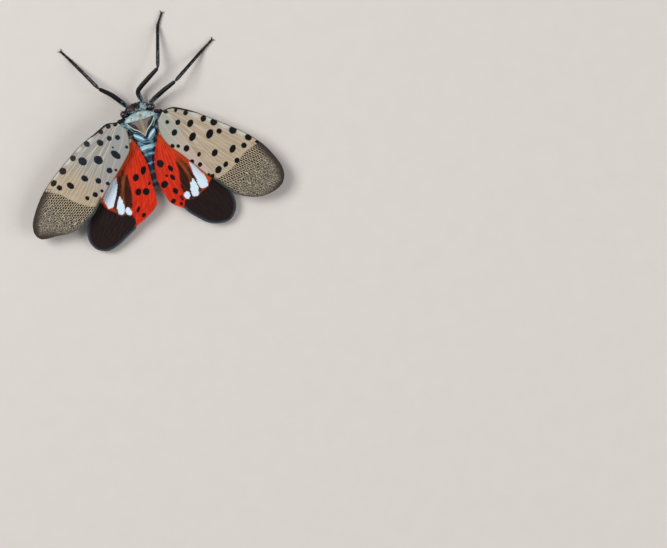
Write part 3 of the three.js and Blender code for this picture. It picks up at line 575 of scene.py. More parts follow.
def finished(bm, name, material, nodes=(), closed=True):
    """Turns a mesh in mm into a piece in the frame, attaches it to the root body, and hides the parts it
    replaces.
    """
    if closed:
        bmesh.ops.recalc_face_normals(bm, faces=bm.faces)
    bm.transform(TO_FRAME)
    for face in bm.faces:
        face.smooth = True
    mesh = bpy.data.meshes.new(name)
    bm.to_mesh(mesh)
    bm.free()
    mesh.materials.append(material)
    piece = bpy.data.objects.new(name, mesh)
    bpy.context.scene.collection.objects.link(piece)
    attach(piece, "root")
    if nodes:
        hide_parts(*nodes)
    return piece


# Materials.
def new_tree(name):
    """A material's empty node tree, and the material."""
    material = bpy.data.materials.get(name) or bpy.data.materials.new(name)
    material.use_nodes = True
    material.node_tree.nodes.clear()
    return material, material.node_tree


def add(tree, kind, values=None, **settings):
    """Adds one node with its settings. Each value is another node's output or a constant."""
    node = tree.nodes.new("ShaderNode" + kind)
    for name, value in settings.items():
        setattr(node, name, value)
    for key, value in (values or {}).items():
        if isinstance(value, bpy.types.NodeSocket):
            tree.links.new(value, node.inputs[key])
        else:
            node.inputs[key].default_value = value
    return node


def marks_of(tree, name):
    """The three numbers that a mesh keeps at each point under a name."""
    attribute = add(tree, "Attribute", attribute_name=name)
    parts = add(tree, "SeparateXYZ", {"Vector": attribute.outputs["Vector"]})
    return [parts.outputs[axis] for axis in "XYZ"]


def marking(tree, under, colour, field, soft, inset=0.0):
    """Lays a colour over another where a field, in mm inside the marking's edge, is above its inset."""
    share = add(tree, "MapRange", {"Value": field, "From Min": inset - soft, "From Max": inset + soft},
                interpolation_type="SMOOTHSTEP")
    return add(tree, "Mix", {0: share.outputs["Result"], 6: under, 7: colour}, data_type="RGBA").outputs[2]


def shifted(tree, field, texture, amount):
    """A field whose edges wander by a texture, by up to the amount in mm."""
    wander = add(tree, "MapRange", {"Value": texture, "To Min": -amount, "To Max": amount})
    return add(tree, "Math", {0: field, 1: wander.outputs["Result"]}, operation="ADD").outputs[0]


def blended(tree, texture, first, second, low=0.0, high=1.0):
    """One colour where a texture is low, another where it is high, and a mix of both between."""
    share = add(tree, "MapRange", {"Value": texture, "From Min": low, "From Max": high}).outputs["Result"]
    return add(tree, "Mix", {0: share, 6: first, 7: second}, data_type="RGBA").outputs[2]


def closed_off(tree, material, colour, roughness, height, bump, depth, **extra):
    """Ends a material in one principled surface, with relief of a depth in mm from a height."""
    relief = add(tree, "Bump", {"Height": height, "Strength": bump, "Distance": depth * MM})
    values = {"Base Color": colour, "Roughness": roughness, "Normal": relief.outputs["Normal"]}
    values.update({key.replace("_", " "): value for key, value in extra.items()})
    surface = add(tree, "BsdfPrincipled", values)
    add(tree, "OutputMaterial", {"Surface": surface.outputs["BSDF"]})
    return material


def grain(tree, grain_mm):
    """Noise on the insect, its grains of a size in mm."""
    return add(tree, "TexNoise", {
        "Vector": add(tree, "TexCoord").outputs["Object"], "Scale": 1 / (grain_mm * MM), "Detail": 3.0,
        "Roughness": 0.6,
    }).outputs["Fac"]


def wing_noise(tree, grains, detail):
    """Noise laid along a wing, with so many grains to the mm along its length and across."""
    wing = add(tree, "Attribute", attribute_name="wing").outputs["Vector"]
    place = add(tree, "Mapping", {"Vector": wing, "Scale": grains}).outputs["Vector"]
    return add(tree, "TexNoise", {"Vector": place, "Scale": 1.0, "Detail": detail})


def black_cuticle(colours):
    # Hard black-brown insect cuticle with a thin bloom of wax: satin, finely wrinkled,
    # slate-blue where the wax lies thick near the body, and crumbly on the head. The pale
    # blue-white of the wax also stands for painted sheen on the head and the legs.
    material, tree = new_tree("BlackCuticle")
    wax, reddish, crumbly = marks_of(tree, "bloom")
    fine, coarse = grain(tree, 0.05), grain(tree, 0.4)
    crumbs = add(tree, "MapRange", {"Value": grain(tree, 0.2), "To Min": -0.9, "To Max": 0.9})
    wax = add(tree, "Math", {0: crumbs.outputs["Result"], 1: crumbly, 2: wax},
              operation="MULTIPLY_ADD").outputs[0]
    colour = blended(tree, coarse, (*colours.black, 1), linear("#141414"))
    # Pale wax whose blue-white is also a painted sheen.
    wax_and_sheen = blended(tree, fine, linear("#48636C"), linear("#B5CBD1"))
    colour = marking(tree, colour, wax_and_sheen, shifted(tree, wax, coarse, 0.45), soft=0.16)
    colour = marking(tree, colour, linear("#3E211E"), shifted(tree, reddish, coarse, 0.25), soft=0.2)
    roughness = add(tree, "MapRange", {"Value": fine, "To Min": 0.3, "To Max": 0.5}).outputs["Result"]
    return closed_off(tree, material, colour, roughness, fine, bump=0.4, depth=0.02, Specular_IOR_Level=0.22)


def compound_eye(colours):
    # Thousands of tiny convex lenses over dark pigment: glossy, with a fine honeycomb.
    # The real facets are about 0.02 mm; they are drawn at 0.05 mm so that they show.
    material, tree = new_tree("CompoundEye")
    place = add(tree, "TexCoord").outputs["Object"]
    facets = add(tree, "TexVoronoi", {"Vector": place, "Scale": 1 / (0.05 * MM), "Randomness": 0.25})
    colour = blended(tree, grain(tree, 0.4), (*colours.eye, 1), linear("#241412"))
    return closed_off(tree, material, colour, 0.18, facets.outputs["Distance"], bump=0.35, depth=0.02,
                      Coat_Weight=0.4)


def orange_pedicel(colours):
    # The antenna's swollen second joint: bright orange cuticle, pebbled with sense organs
    # about 0.09 mm apart, satin.
    material, tree = new_tree("OrangePedicel")
    place = add(tree, "TexCoord").outputs["Object"]
    hollows = add(tree, "TexVoronoi", {"Vector": place, "Scale": 1 / (0.09 * MM)}).outputs["Distance"]
    colour = blended(tree, hollows, (*colours.orange, 1), linear("#A93A10"), low=0.25, high=0.8)
    height = add(tree, "Math", {0: 1.0, 1: hollows}, operation="SUBTRACT").outputs[0]
    return closed_off(tree, material, colour, 0.42, height, bump=0.6, depth=0.03, Subsurface_Weight=0.1,
                      Subsurface_Radius=(0.0002, 0.0001, 0.00005))


def waxy_teal_cuticle(colours):
    # The pronotum's cuticle under a powdery bloom of wax: pale grey-teal, nearly matt,
    # mottled, with an olive spot in the middle, two dark dots and a pale hind margin.
    material, tree = new_tree("WaxyTealCuticle")
    olive, dots, margin = marks_of(tree, "marks")
    fine, blotches = grain(tree, 0.06), grain(tree, 0.55)
    colour = blended(tree, blotches, linear("#7E9799"), (*colours.teal, 1), low=0.35, high=0.65)
    colour = marking(tree, colour, linear("#8F8560"), shifted(tree, olive, fine, 0.16), soft=0.1)
    colour = marking(tree, colour, linear("#2A3236"), shifted(tree, dots, fine, 0.03), soft=0.04)
    colour = marking(tree, colour, linear("#C2CDC3"), margin, soft=0.05)
    return closed_off(tree, material, colour, 0.55, fine, bump=0.5, depth=0.025)


def taupe_cuticle(colours):
    # The scutellum: taupe cuticle in a thin cream frame, black in the front corners,
    # between flanks of blue-black cuticle dusted with pale blue wax, partly a painted highlight.
    material, tree = new_tree("TaupeCuticle")
    within, corner, frame_line = marks_of(tree, "marks")
    streak, dusted, _ = marks_of(tree, "more_marks")
    fine, blotches = grain(tree, 0.06), grain(tree, 0.5)
    # The pale blue on the flanks is wax and a painted highlight.
    flank_wax_and_highlight = shifted(tree, dusted, blotches, 0.25)
    flank = marking(tree, linear("#23394A"), linear("#84B0C0"), flank_wax_and_highlight, soft=0.15)
    inside = blended(tree, blotches, linear("#6B5A55"), (*colours.taupe, 1))
    inside = marking(tree, inside, linear("#98876F"), shifted(tree, streak, blotches, 0.1), soft=0.15)
    inside = marking(tree, inside, linear("#121216"), shifted(tree, corner, blotches, 0.12), soft=0.08)
    colour = blended(tree, within, flank, inside, low=-0.02, high=0.02)
    colour = marking(tree, colour, linear("#CFCFBC"), frame_line, soft=0.02)
    return closed_off(tree, material, colour, 0.48, fine, bump=0.5, depth=0.025)


def pale_blue_cuticle(colours):
    # Blue-black cuticle whose raised folds carry pale sky-blue wax, partly a painted highlight:
    # satin, with a brighter painted highlight along the top of each fold.
    material, tree = new_tree("PaleBlueCuticle")
    fold = marks_of(tree, "marks")[0]
    fine, blotches = grain(tree, 0.06), grain(tree, 0.4)
    colour = blended(tree, blotches, linear("#14202B"), linear("#2C4354"))
    fold = shifted(tree, fold, blotches, 0.08)
    colour = marking(tree, colour, (*colours.blue, 1), fold, soft=0.08)
    # Painted highlight along the top of each fold.
    colour = marking(tree, colour, linear("#C3E0EC"), fold, soft=0.06, inset=0.16)
    return closed_off(tree, material, colour, 0.38, fine, bump=0.4, depth=0.02)


def banded_cuticle(colours):
    # The abdomen: blue-black plates with pale waxy hind bands with a painted highlight along
    # their middle, greyer bands near the tip, and yellow skin between the plates of the belly.
    material, tree = new_tree("BandedCuticle")
    pale, grey, yellow = marks_of(tree, "marks")
    fine, blotches = grain(tree, 0.07), grain(tree, 0.45)
    colour = blended(tree, blotches, linear("#101A24"), linear("#28455A"))
    pale = shifted(tree, pale, blotches, 0.45)
    colour = marking(tree, colour, linear("#5588A6"), pale, soft=0.12)
    # Painted highlight along the middle of each pale band.
    colour = marking(tree, colour, linear("#A5CCD6"), pale, soft=0.05, inset=0.14)
    colour = marking(tree, colour, linear("#7B7470"), shifted(tree, grey, blotches, 0.16), soft=0.12)
    colour = marking(tree, colour, linear("#C29A3A"), shifted(tree, yellow, blotches, 0.1), soft=0.06)
    return closed_off(tree, material, colour, 0.42, fine, bump=0.4, depth=0.025)


def dark_cuticle(colours):
    # Flanks of the thorax: blue-black cuticle, wrinkled, with patches of grey-blue wax that also stand for a
    # painted highlight.
    material, tree = new_tree("DarkCuticle")
    fine, blotches = grain(tree, 0.08), grain(tree, 0.7)
    colour = blended(tree, fine, (*colours.dark_blue, 1), linear("#14181F"))
    # Grey-blue wax patches, partly a painted highlight.
    colour = marking(tree, colour, linear("#7799A8"), blotches, soft=0.08, inset=0.52)
    return closed_off(tree, material, colour, 0.45, fine, bump=0.5, depth=0.03)


def parchment(tree, colours, streaks, blotches, fine):
    """The forewing's ground: tan, warmer in blotches, greyer in the clavus, greyed near the root and by
    painted shade over the left wing, with paler veins.
    """
    along, _, rim = marks_of(tree, "wing")
    vein = marks_of(tree, "marks")[2]
    clavus, _, pale = marks_of(tree, "more_marks")
    grey = marks_of(tree, "tones")[0]
    colour = blended(tree, streaks, linear("#A08C74"), (*colours.tan, 1), low=0.32, high=0.68)
    warm = add(tree, "MapRange", {"Value": blotches, "From Min": 0.45, "From Max": 0.7, "To Max": 0.5})
    colour = add(tree, "Mix", {0: warm.outputs["Result"], 6: colour, 7: linear("#C0A890")},
                 data_type="RGBA").outputs[2]
    outwards = shifted(tree, along, blotches, 3.0)
    rosy = blended(tree, outwards, linear("#ACAD9C"), linear("#BDA79B"), low=2.5, high=5.5)
    colour = marking(tree, colour, rosy, shifted(tree, clavus, fine, 0.1), soft=0.12)
    # Grey near the root and in the costal cell, and painted shade over most of the left wing.
    colour = blended(tree, grey, colour, linear("#8F9293"))
    colour = marking(tree, colour, linear("#C3C2B8"), shifted(tree, pale, fine, 0.15), soft=0.25)
    colour = marking(tree, colour, linear("#C6BFAC"), vein, soft=0.05, inset=0.035)
    to_rim = add(tree, "Math", {0: 0.1, 1: rim}, operation="SUBTRACT").outputs[0]
    return marking(tree, colour, linear("#7A6244"), to_rim, soft=0.06)


def tip_network(tree, net, blotches, fine):
    """The net of the forewing's tip, more wavy and browner outwards, and its threads alone."""
    wing = add(tree, "Attribute", attribute_name="wing").outputs["Vector"]
    shaded_rim = marks_of(tree, "tones")[1]
    wave = wing_noise(tree, (1.6, 1.6, 1.6), detail=1).outputs["Color"]
    centred = add(tree, "VectorMath", {0: wave, 1: (-0.5, -0.5, -0.5)}, operation="ADD").outputs["Vector"]
    amount = add(tree, "MapRange", {
        "Value": net, "From Min": 1.5, "From Max": 4.0, "To Min": 0.15, "To Max": 0.9,
    }).outputs["Result"]
    bend = add(tree, "VectorMath", {0: centred, "Scale": amount}, operation="SCALE").outputs["Vector"]
    bent = add(tree, "VectorMath", {0: wing, 1: bend}, operation="ADD").outputs["Vector"]
    threads = add(tree, "TexBrick", {
        "Vector": bent, "Scale": 1.0, "Mortar Size": 0.055, "Mortar Smooth": 0.6, "Brick Width": 0.5,
        "Row Height": 0.3,
    }).outputs["Fac"]
    outwards = shifted(tree, net, blotches, 1.0)
    cell = blended(tree, outwards, linear("#120E0C"), linear("#524B41"), low=1.2, high=4.6)
    thread = blended(tree, outwards, linear("#C7B598"), linear("#A59B87"), low=1.2, high=4.6)
    colour = blended(tree, threads, cell, thread)
    return marking(tree, colour, linear("#3A302B"), shifted(tree, shaded_rim, fine, 0.3), soft=0.6), threads


def forewing_membrane(colours):
    # Leathery forewing: tan parchment over fine long veins, nearly matt, with black
    # spots and streaks about 3 mm long and 0.15 mm wide. Past the border it is a net of
    # cells about 0.5 by 0.3 mm, black inside tan threads near the border and brown-grey
    # further out, with a dark rim.
    material, tree = new_tree("ForewingMembrane")
    streaks = wing_noise(tree, (0.35, 7, 1), detail=4).outputs["Fac"]
    blotches = wing_noise(tree, (0.7, 0.7, 0.7), detail=3).outputs["Fac"]
    fine = wing_noise(tree, (9, 9, 9), detail=2).outputs["Fac"]
    spot, net, _ = marks_of(tree, "marks")
    costal = marks_of(tree, "more_marks")[1]
    grey, _, teal_edge = marks_of(tree, "tones")

    colour = parchment(tree, colours, streaks, blotches, fine)
    network, threads = tip_network(tree, net, blotches, fine)
    netted = add(tree, "MapRange", {
        "Value": shifted(tree, net, threads, 0.35), "From Min": -0.04, "From Max": 0.04,
    }).outputs["Result"]
    colour = blended(tree, netted, colour, network)
    colour = marking(tree, colour, linear("#3A433F"), shifted(tree, teal_edge, fine, 0.25), soft=0.25)
    # Spots turn dark teal where the wing is grey, under the painted shade too.
    black = blended(tree, grey, linear("#060608"), linear("#14232A"))
    colour = marking(tree, colour, black, shifted(tree, spot, fine, 0.1), soft=0.035, inset=-0.04)
    colour = marking(tree, colour, linear("#120F0C"), shifted(tree, costal, fine, 0.05), soft=0.05)
    raised = add(tree, "Math", {0: threads, 1: netted}, operation="MULTIPLY").outputs[0]
    height = add(tree, "Math", {0: streaks, 1: raised}, operation="ADD").outputs[0]
    return closed_off(tree, material, colour, 0.55, height, bump=0.3, depth=0.04, Specular_IOR_Level=0.15)


def hindwing_membrane(colours):
    # Thin hindwing: vivid red membrane between raised fan veins, with streaks about 2 mm
    # long and 0.25 mm wide, black spots, white patches, brown and rusty streaks, and a
    # black-brown outer lobe with a painted bluish sheen along its rim.
    material, tree = new_tree("HindwingMembrane")
    rim = marks_of(tree, "wing")[2]
    spot, lobe, vein = marks_of(tree, "marks")
    white, brown, front = marks_of(tree, "more_marks")
    rust = marks_of(tree, "tones")[0]
    streaks = wing_noise(tree, (0.5, 4, 1), detail=4).outputs["Fac"]
    fine = wing_noise(tree, (6, 6, 6), detail=3).outputs["Fac"]

    colour = blended(tree, streaks, linear("#AE1F0B"), (*colours.red, 1), low=0.3, high=0.7)
    colour = marking(tree, colour, linear("#D6561F"), shifted(tree, front, streaks, 0.8), soft=0.9)
    colour = marking(tree, colour, linear("#D84E2A"), vein, soft=0.05, inset=0.04)
    rusty = blended(tree, streaks, linear("#34170D"), linear("#944C26"), low=0.3, high=0.7)
    colour = marking(tree, colour, rusty, shifted(tree, rust, fine, 0.4), soft=0.3)
    dark_brown = blended(tree, streaks, linear("#1D0D0A"), linear("#47200F"), low=0.3, high=0.7)
    colour = marking(tree, colour, dark_brown, shifted(tree, brown, fine, 0.3), soft=0.14)
    colour = marking(tree, colour, linear("#130C0D"), shifted(tree, spot, fine, 0.18), soft=0.05, inset=-0.05)
    black = blended(tree, streaks, linear("#120B0B"), linear("#2C1C1A"))
    # Painted bluish sheen along the black lobe's rim.
    to_rim = add(tree, "Math", {0: 0.22, 1: rim}, operation="SUBTRACT").outputs[0]
    black = marking(tree, black, linear("#46505F"), shifted(tree, to_rim, fine, 0.25), soft=0.35)
    colour = blended(tree, shifted(tree, lobe, fine, 0.3), colour, black, low=-0.08, high=0.08)
    torn = shifted(tree, shifted(tree, white, fine, 0.2), streaks, 0.2)
    colour = marking(tree, colour, linear("#D9EAF8"), torn, soft=0.07, inset=-0.02)
    height = add(tree, "Math", {0: streaks, 1: fine}, operation="ADD").outputs[0]
    return closed_off(tree, material, colour, 0.5, height, bump=0.3, depth=0.03, Specular_IOR_Level=0.12)


# Wings.
class WingPlan:
    """One wing seen from above, and its height over the floor at each place."""

    def __init__(self, name, side, hinge, from_tail, length, leading, trailing, height):
        self.name = name
        self.side = side
        self.hinge = hinge
        self.along = math.sin(math.radians(from_tail))
        self.back = math.cos(math.radians(from_tail))
        self.length = length
        self.leading = curve_through(leading)
        self.trailing = curve_through(trailing)
        self.height = height

    def point(self, u, v):
        """The x and y of a place on the wing."""
        x = self.hinge[0] + self.side * (u * self.along + v * self.back)
        y = self.hinge[1] - u * self.back + v * self.along
        return x, y

    def to_rim(self, u, v):
        """About how far a place lies inside the outline."""
        step = 0.05
        nearest = 9.0
        for edge in (self.leading, self.trailing):
            slope = (edge(u + step) - edge(u - step)) / (2 * step)
            nearest = min(nearest, abs(v - edge(u)) / math.hypot(1, slope))
        return nearest


def forewing_height(u, v, *_):
    return FOREWING_BASE_Z - FOREWING_FALL * u - FOREWING_CAMBER * (v + 1) ** 2


def left_forewing_height(u, v, *_):
    return forewing_height(u, v) - LEFT_FOREWING_ROLL * max(v, 0) ** 2


abdomen_middle = curve_through(ABDOMEN_MIDDLE_X)
abdomen_half_width = curve_through(ABDOMEN_HALF_WIDTH)
abdomen_half_height = curve_through(ABDOMEN_HALF_HEIGHT)


def abdomen_top(x, y):
    """The height of the abdomen's back at a place, and 0 beside it."""
    if y > ABDOMEN_HALF_WIDTH[-1][0] or y < ABDOMEN_TIP_Y:
        return 0
    across = (x - abdomen_middle(y)) / (abdomen_half_width(y) + ABDOMEN_STEP)
    if abs(across) >= 1:
        return 0
    half = abdomen_half_height(y)
    return ABDOMEN_BELLY_Z + half + (half + ABDOMEN_STEP) * math.sqrt(1 - across ** 2)


def hindwing_height(u, _, x, y):
    """The hindwing slopes down to its tip and arches over the abdomen."""
    sloping = HINDWING_BASE_Z - HINDWING_FALL * u
    return smooth_max(sloping, abdomen_top(x, y) + HINDWING_OVER_ABDOMEN, HINDWING_BLEND)


RIGHT_FOREWING = WingPlan(
    "forewing_right", side=1, hinge=(3.43, -0.09), from_tail=46.2, length=FOREWING_LENGTH,
    leading=RIGHT_FOREWING_LEADING, trailing=RIGHT_FOREWING_TRAILING, height=forewing_height)
LEFT_FOREWING = WingPlan(
    "forewing_left", side=-1, hinge=(-3.3, 0.2), from_tail=55.5, length=FOREWING_LENGTH,
    leading=LEFT_FOREWING_LEADING, trailing=LEFT_FOREWING_TRAILING, height=left_forewing_height)
RIGHT_HINDWING = WingPlan(
    "hindwing_right", side=1, hinge=(2.35, -2.6), from_tail=20.7, length=RIGHT_HINDWING_LENGTH,
    leading=RIGHT_HINDWING_LEADING, trailing=RIGHT_HINDWING_TRAILING, height=hindwing_height)
LEFT_HINDWING = WingPlan(
    "hindwing_left", side=-1, hinge=(-2.4, -2.4), from_tail=30.9, length=LEFT_HINDWING_LENGTH,
    leading=LEFT_HINDWING_LEADING, trailing=LEFT_HINDWING_TRAILING, height=hindwing_height)

forewing_stems = [(curve_through(pairs), branches) for pairs, branches in FOREWING_STEMS]


def forewing_veins(suture):
    """A function that gives the v of every long vein of a forewing at u."""
    def veins_at(u, low, high):
        fan = smooth_step(BRANCH_START, BRANCH_END, u)
        lines = [suture(u), low + (suture(u) - low) * CLAVUS_VEIN]
        for stem, branches in forewing_stems:
            for k in range(branches):
                lines.append(low + (high - low) * (stem(u) + (k - (branches - 1) / 2) * BRANCH_SPREAD * fan))
        return lines
    return veins_at


def hindwing_veins(u, *_):
    """The v of every long vein of a hindwing at u."""
    spread = 1 - math.exp(-u / HINDWING_FAN)
    return [goal * spread for goal in HINDWING_VEINS]


def wing_mesh(plan, grid, veins_at, marks_at, pleat_height=0.0):
    """A wing as a grid over its plan, finer towards the tip, with the marks its material reads."""
    bm = bmesh.new()
    wing, *marks = [bm.verts.layers.float_vector.new(name) for name in ("wing", *WING_MARKS)]
    deform = bm.verts.layers.deform.verify()
    for vert, share, across in sheet(bm, *grid):
        u = plan.length * (share + TIP_CROWDING * (math.sin(math.pi / 2 * share) - share))
        low, high = plan.trailing(u), plan.leading(u)
        v = low + (high - low) * across
        x, y = plan.point(u, v)
        to_vein = min(abs(v - line) for line in veins_at(u, low, high))
        to_rim = plan.to_rim(u, v)
        vein = ridge(to_vein, VEIN_HALF_WIDTH) * (1 - 0.5 * smooth_step(0.7, 1, share))
        pleat = pleat_height * math.cos(2 * math.pi * across * PLEATS) * smooth_step(1, 6, u)
        vert.co = (x, y, plan.height(u, v, x, y) + pleat)
        vert[wing] = (u, v, to_rim)
        for layer, values in zip(marks, marks_at(u, v, VEIN_HALF_WIDTH - to_vein, to_rim, low, high)):
            vert[layer] = values
        vert[deform][0] = min(vein + ridge(to_rim, RIM_HALF_WIDTH), 1)
    return bm


def wing_piece(bm, plan, material, thickness, membrane_share):
    """A wing thickened both ways, less between its veins than along them."""
    piece = finished(bm, plan.name + "_blade", material, [plan.name], closed=False)
    piece.vertex_groups.new(name="veins")
    solid = piece.modifiers.new("Thickness", "SOLIDIFY")
    solid.thickness = thickness
    solid.offset = 0
    solid.vertex_group = "veins"
    solid.thickness_vertex_group = membrane_share


def forewing_marks(spots, suture, grey, grey_start, grey_end):
    """A function that gives a forewing's marks, each in mm inside its edge, and how grey it is, painted shade
    included.
    """
    border = curve_through(NETWORK_BORDER)

    def marks_at(u, v, vein, rim, low, high):
        clavus = suture(u) - v
        costal = 0.26 * (1 - smooth_step(3.0, 6.0, u)) - (high - v)
        # On the left wing this greying is painted shade.
        root_grey_and_shade = grey * (1 - smooth_step(grey_start, grey_end, u))
        costal_cell = 0.35 * (1 - smooth_step(0.3, 1.3, high - v)) * (1 - smooth_step(10, 13, u))
        shaded_rim = 0.12 + 0.8 * smooth_step(-4.5, -1.0, v) - rim
        teal_edge = min(0.4 - (v - low), u - 10.4, (15.2 - u) * 0.3)
        return ((inside_spots(u, v, spots), u - border(v), vein),
                (clavus, costal, inside_spots(u, v, PALE_COSTAL_PATCHES)),
                (max(root_grey_and_shade, costal_cell), shaded_rim, teal_edge))
    return marks_at


def hindwing_marks(spots, white, brown, rust, border_pairs):
    """A function that gives a hindwing's marks, each in mm inside its edge."""
    border = curve_through(border_pairs)

    def marks_at(u, v, vein, *_):
        root_spot = 0.2 - math.hypot(u - 0.3, v + 0.1)
        pale = max(inside_streaks(u, v, white), root_spot)
        front = v - 0.2 * u + 0.9
        return ((inside_spots(u, v, spots), u - border(v), vein),
                (pale, inside_streaks(u, v, brown), front),
                (inside_streaks(u, v, rust), 0.0, 0.0))
    return marks_at


# Plates of the back.
def plate(bm, half_width, front, back, top, grid, roll, roll_width):
    """A domed plate with its edges rolled down, and its wall under it."""
    front_at, back_at = curve_through(front), curve_through(back)
    for vert, across, along in sheet(bm, *grid):
        x = half_width * (2 * across - 1)
        y = back_at(abs(x)) + (front_at(abs(x)) - back_at(abs(x))) * along
        to_edge = min(half_width - abs(x), y - back_at(abs(x)), front_at(abs(x)) - y)
        drop = roll * (1 - min(max(to_edge / roll_width, 0), 1)) ** 2
        vert.co = (x, y, top(x, y) - drop)
    bmesh.ops.recalc_face_normals(bm, faces=bm.faces)
    if bm.faces[:][0].normal.z < 0:
        bmesh.ops.reverse_faces(bm, faces=bm.faces)
    bmesh.ops.solidify(bm, geom=bm.faces[:], thickness=PLATE_THICKNESS)


def pronotum_top(x, y):
    """A dome that falls to the front, with a fine keel and a dent on each side of it."""
    keel = 0.1 * ridge(x, 0.12)
    dent = 0.09 * ridge(abs(x) - 0.4, 0.16) * ridge(y - 0.3, 0.2)
    return PRONOTUM_TOP_Z - 0.12 * x ** 2 - 0.3 * max(y - 0.2, 0) + keel - dent


def inside_scutellum(x, y):
    """How far a place lies inside the scutellum's two long sides, in mm."""
    slope = (SCUTELLUM_FRONT_Y - SCUTELLUM_TIP_Y) / SCUTELLUM_HALF_WIDTH
    bulge = 0.16 * math.sin(math.pi * min(abs(x) / SCUTELLUM_HALF_WIDTH, 1) * 2)
    return (y - SCUTELLUM_TIP_Y - slope * abs(x) - bulge) / math.hypot(1, slope)


def mesonotum_top(x, y):
    """A dome that falls to the front and back, with the scutellum raised in its rim and keeled."""
    inside = inside_scutellum(x, y)
    dome = MESONOTUM_TOP_Z - 0.07 * x ** 2 - 0.1 * max(-y - 1, 0) - 0.5 * smooth_step(-0.35, 0.0, y)
    raised = 0.16 * smooth_step(-0.16, 0.02, inside)
    rim = 0.05 * ridge(inside - 0.03, 0.06)
    keel = 0.05 * ridge(x, 0.1) * smooth_step(0.0, 0.3, inside)
    return dome + raised + rim + keel


metanotum_front = curve_through(METANOTUM_FRONT)
metanotum_back = curve_through(METANOTUM_BACK)


def along_metanotum(x, y):
    """The share of the way from the metanotum's hind edge to its front edge."""
    front, back = metanotum_front(abs(x)), metanotum_back(abs(x))
    return (y - back) / (front - back)


def metanotum_top(x, y):
    """A slope down to the back, with a crescent raised on each side of the middle."""
    share = along_metanotum(x, y)
    slope = METANOTUM_TOP_Z - 0.05 * x ** 2 + 0.4 * (y + 2.6)
    crescent = 0.2 * ridge(share - 0.45, 0.2) * smooth_step(0.1, 0.5, abs(x))
    return slope + crescent - 0.25 * smooth_step(0.75, 1.0, share)


# Settings a user would change.
class LanternflySizes(bpy.types.PropertyGroup):
    forewing_thickness: bpy.props.FloatProperty(
        name="Forewing Thickness", description="Thickness of the forewing along its veins",
        default=0.00022, min=0.00005, max=0.0005, unit="LENGTH", precision=5)
    hindwing_thickness: bpy.props.FloatProperty(
        name="Hindwing Thickness", description="Thickness of the hindwing along its veins",
        default=0.00016, min=0.00005, max=0.0005, unit="LENGTH", precision=5)
    membrane_share: bpy.props.FloatProperty(
        name="Membrane Share", description="Thickness between the veins as a share of that along them",
        default=0.65, min=0.1, max=1.0, subtype="FACTOR")
    hairs_per_shin: bpy.props.IntProperty(
        name="Hairs per Shin", description="Bristles on each shin, less those too near the floor",
        default=46, min=0, max=200)
    hair_length: bpy.props.FloatProperty(
        name="Hair Length", description="Length of a leg's bristles",
        default=0.00022, min=0.00005, max=0.0005, unit="LENGTH", precision=5)
    seed: bpy.props.IntProperty(name="Seed", description="Seed of the bristles' places", default=7)


class LanternflyColours(bpy.types.PropertyGroup):
    __annotations__ = {
        name: bpy.props.FloatVectorProperty(
            name=label, description=description, subtype="COLOR", size=3, min=0, max=1,
            default=linear(colour)[:3])
        for name, label, description, colour in COLOURS
    }


class LanternflyForewings(bpy.types.Operator):
    """Build the two spotted forewings"""

    bl_idname = "lanternfly.forewings"
    bl_label = "Forewings"

    def execute(self, context):
        sizes, colours = context.scene.lanternfly_sizes, context.scene.lanternfly_colours
        material = forewing_membrane(colours)
        sides = (
            (RIGHT_FOREWING, RIGHT_FOREWING_SPOTS, RIGHT_CLAVAL_SUTURE, RIGHT_FOREWING_GREY),
            (LEFT_FOREWING, LEFT_FOREWING_SPOTS, LEFT_CLAVAL_SUTURE, LEFT_FOREWING_GREY_SHADE),
        )
        for plan, spots, suture_pairs, grey in sides:
            suture = curve_through(suture_pairs)
            marks_at = forewing_marks(spots, suture, *grey)
            bm = wing_mesh(plan, FOREWING_GRID, forewing_veins(suture), marks_at)
            wing_piece(bm, plan, material,
                       sizes.forewing_thickness, sizes.membrane_share)
        return {"FINISHED"}


class LanternflyHindwings(bpy.types.Operator):
    """Build the two red hindwings"""

    bl_idname = "lanternfly.hindwings"
    bl_label = "Hindwings"

    def execute(self, context):
        sizes, colours = context.scene.lanternfly_sizes, context.scene.lanternfly_colours
        material = hindwing_membrane(colours)
        sides = (
            (RIGHT_HINDWING, RIGHT_HINDWING_SPOTS, RIGHT_WHITE_STREAKS, RIGHT_BROWN_STREAKS,
             RIGHT_RUST_STREAKS, RIGHT_BLACK_BORDER),
            (LEFT_HINDWING, LEFT_HINDWING_SPOTS, LEFT_WHITE_STREAKS, LEFT_BROWN_STREAKS,
             LEFT_RUST_STREAKS, LEFT_BLACK_BORDER),
        )
        for plan, *marks in sides:
            bm = wing_mesh(plan, HINDWING_GRID, hindwing_veins, hindwing_marks(*marks), PLEAT_HEIGHT)
            wing_piece(bm, plan, material,
                       sizes.hindwing_thickness, sizes.membrane_share)
        return {"FINISHED"}


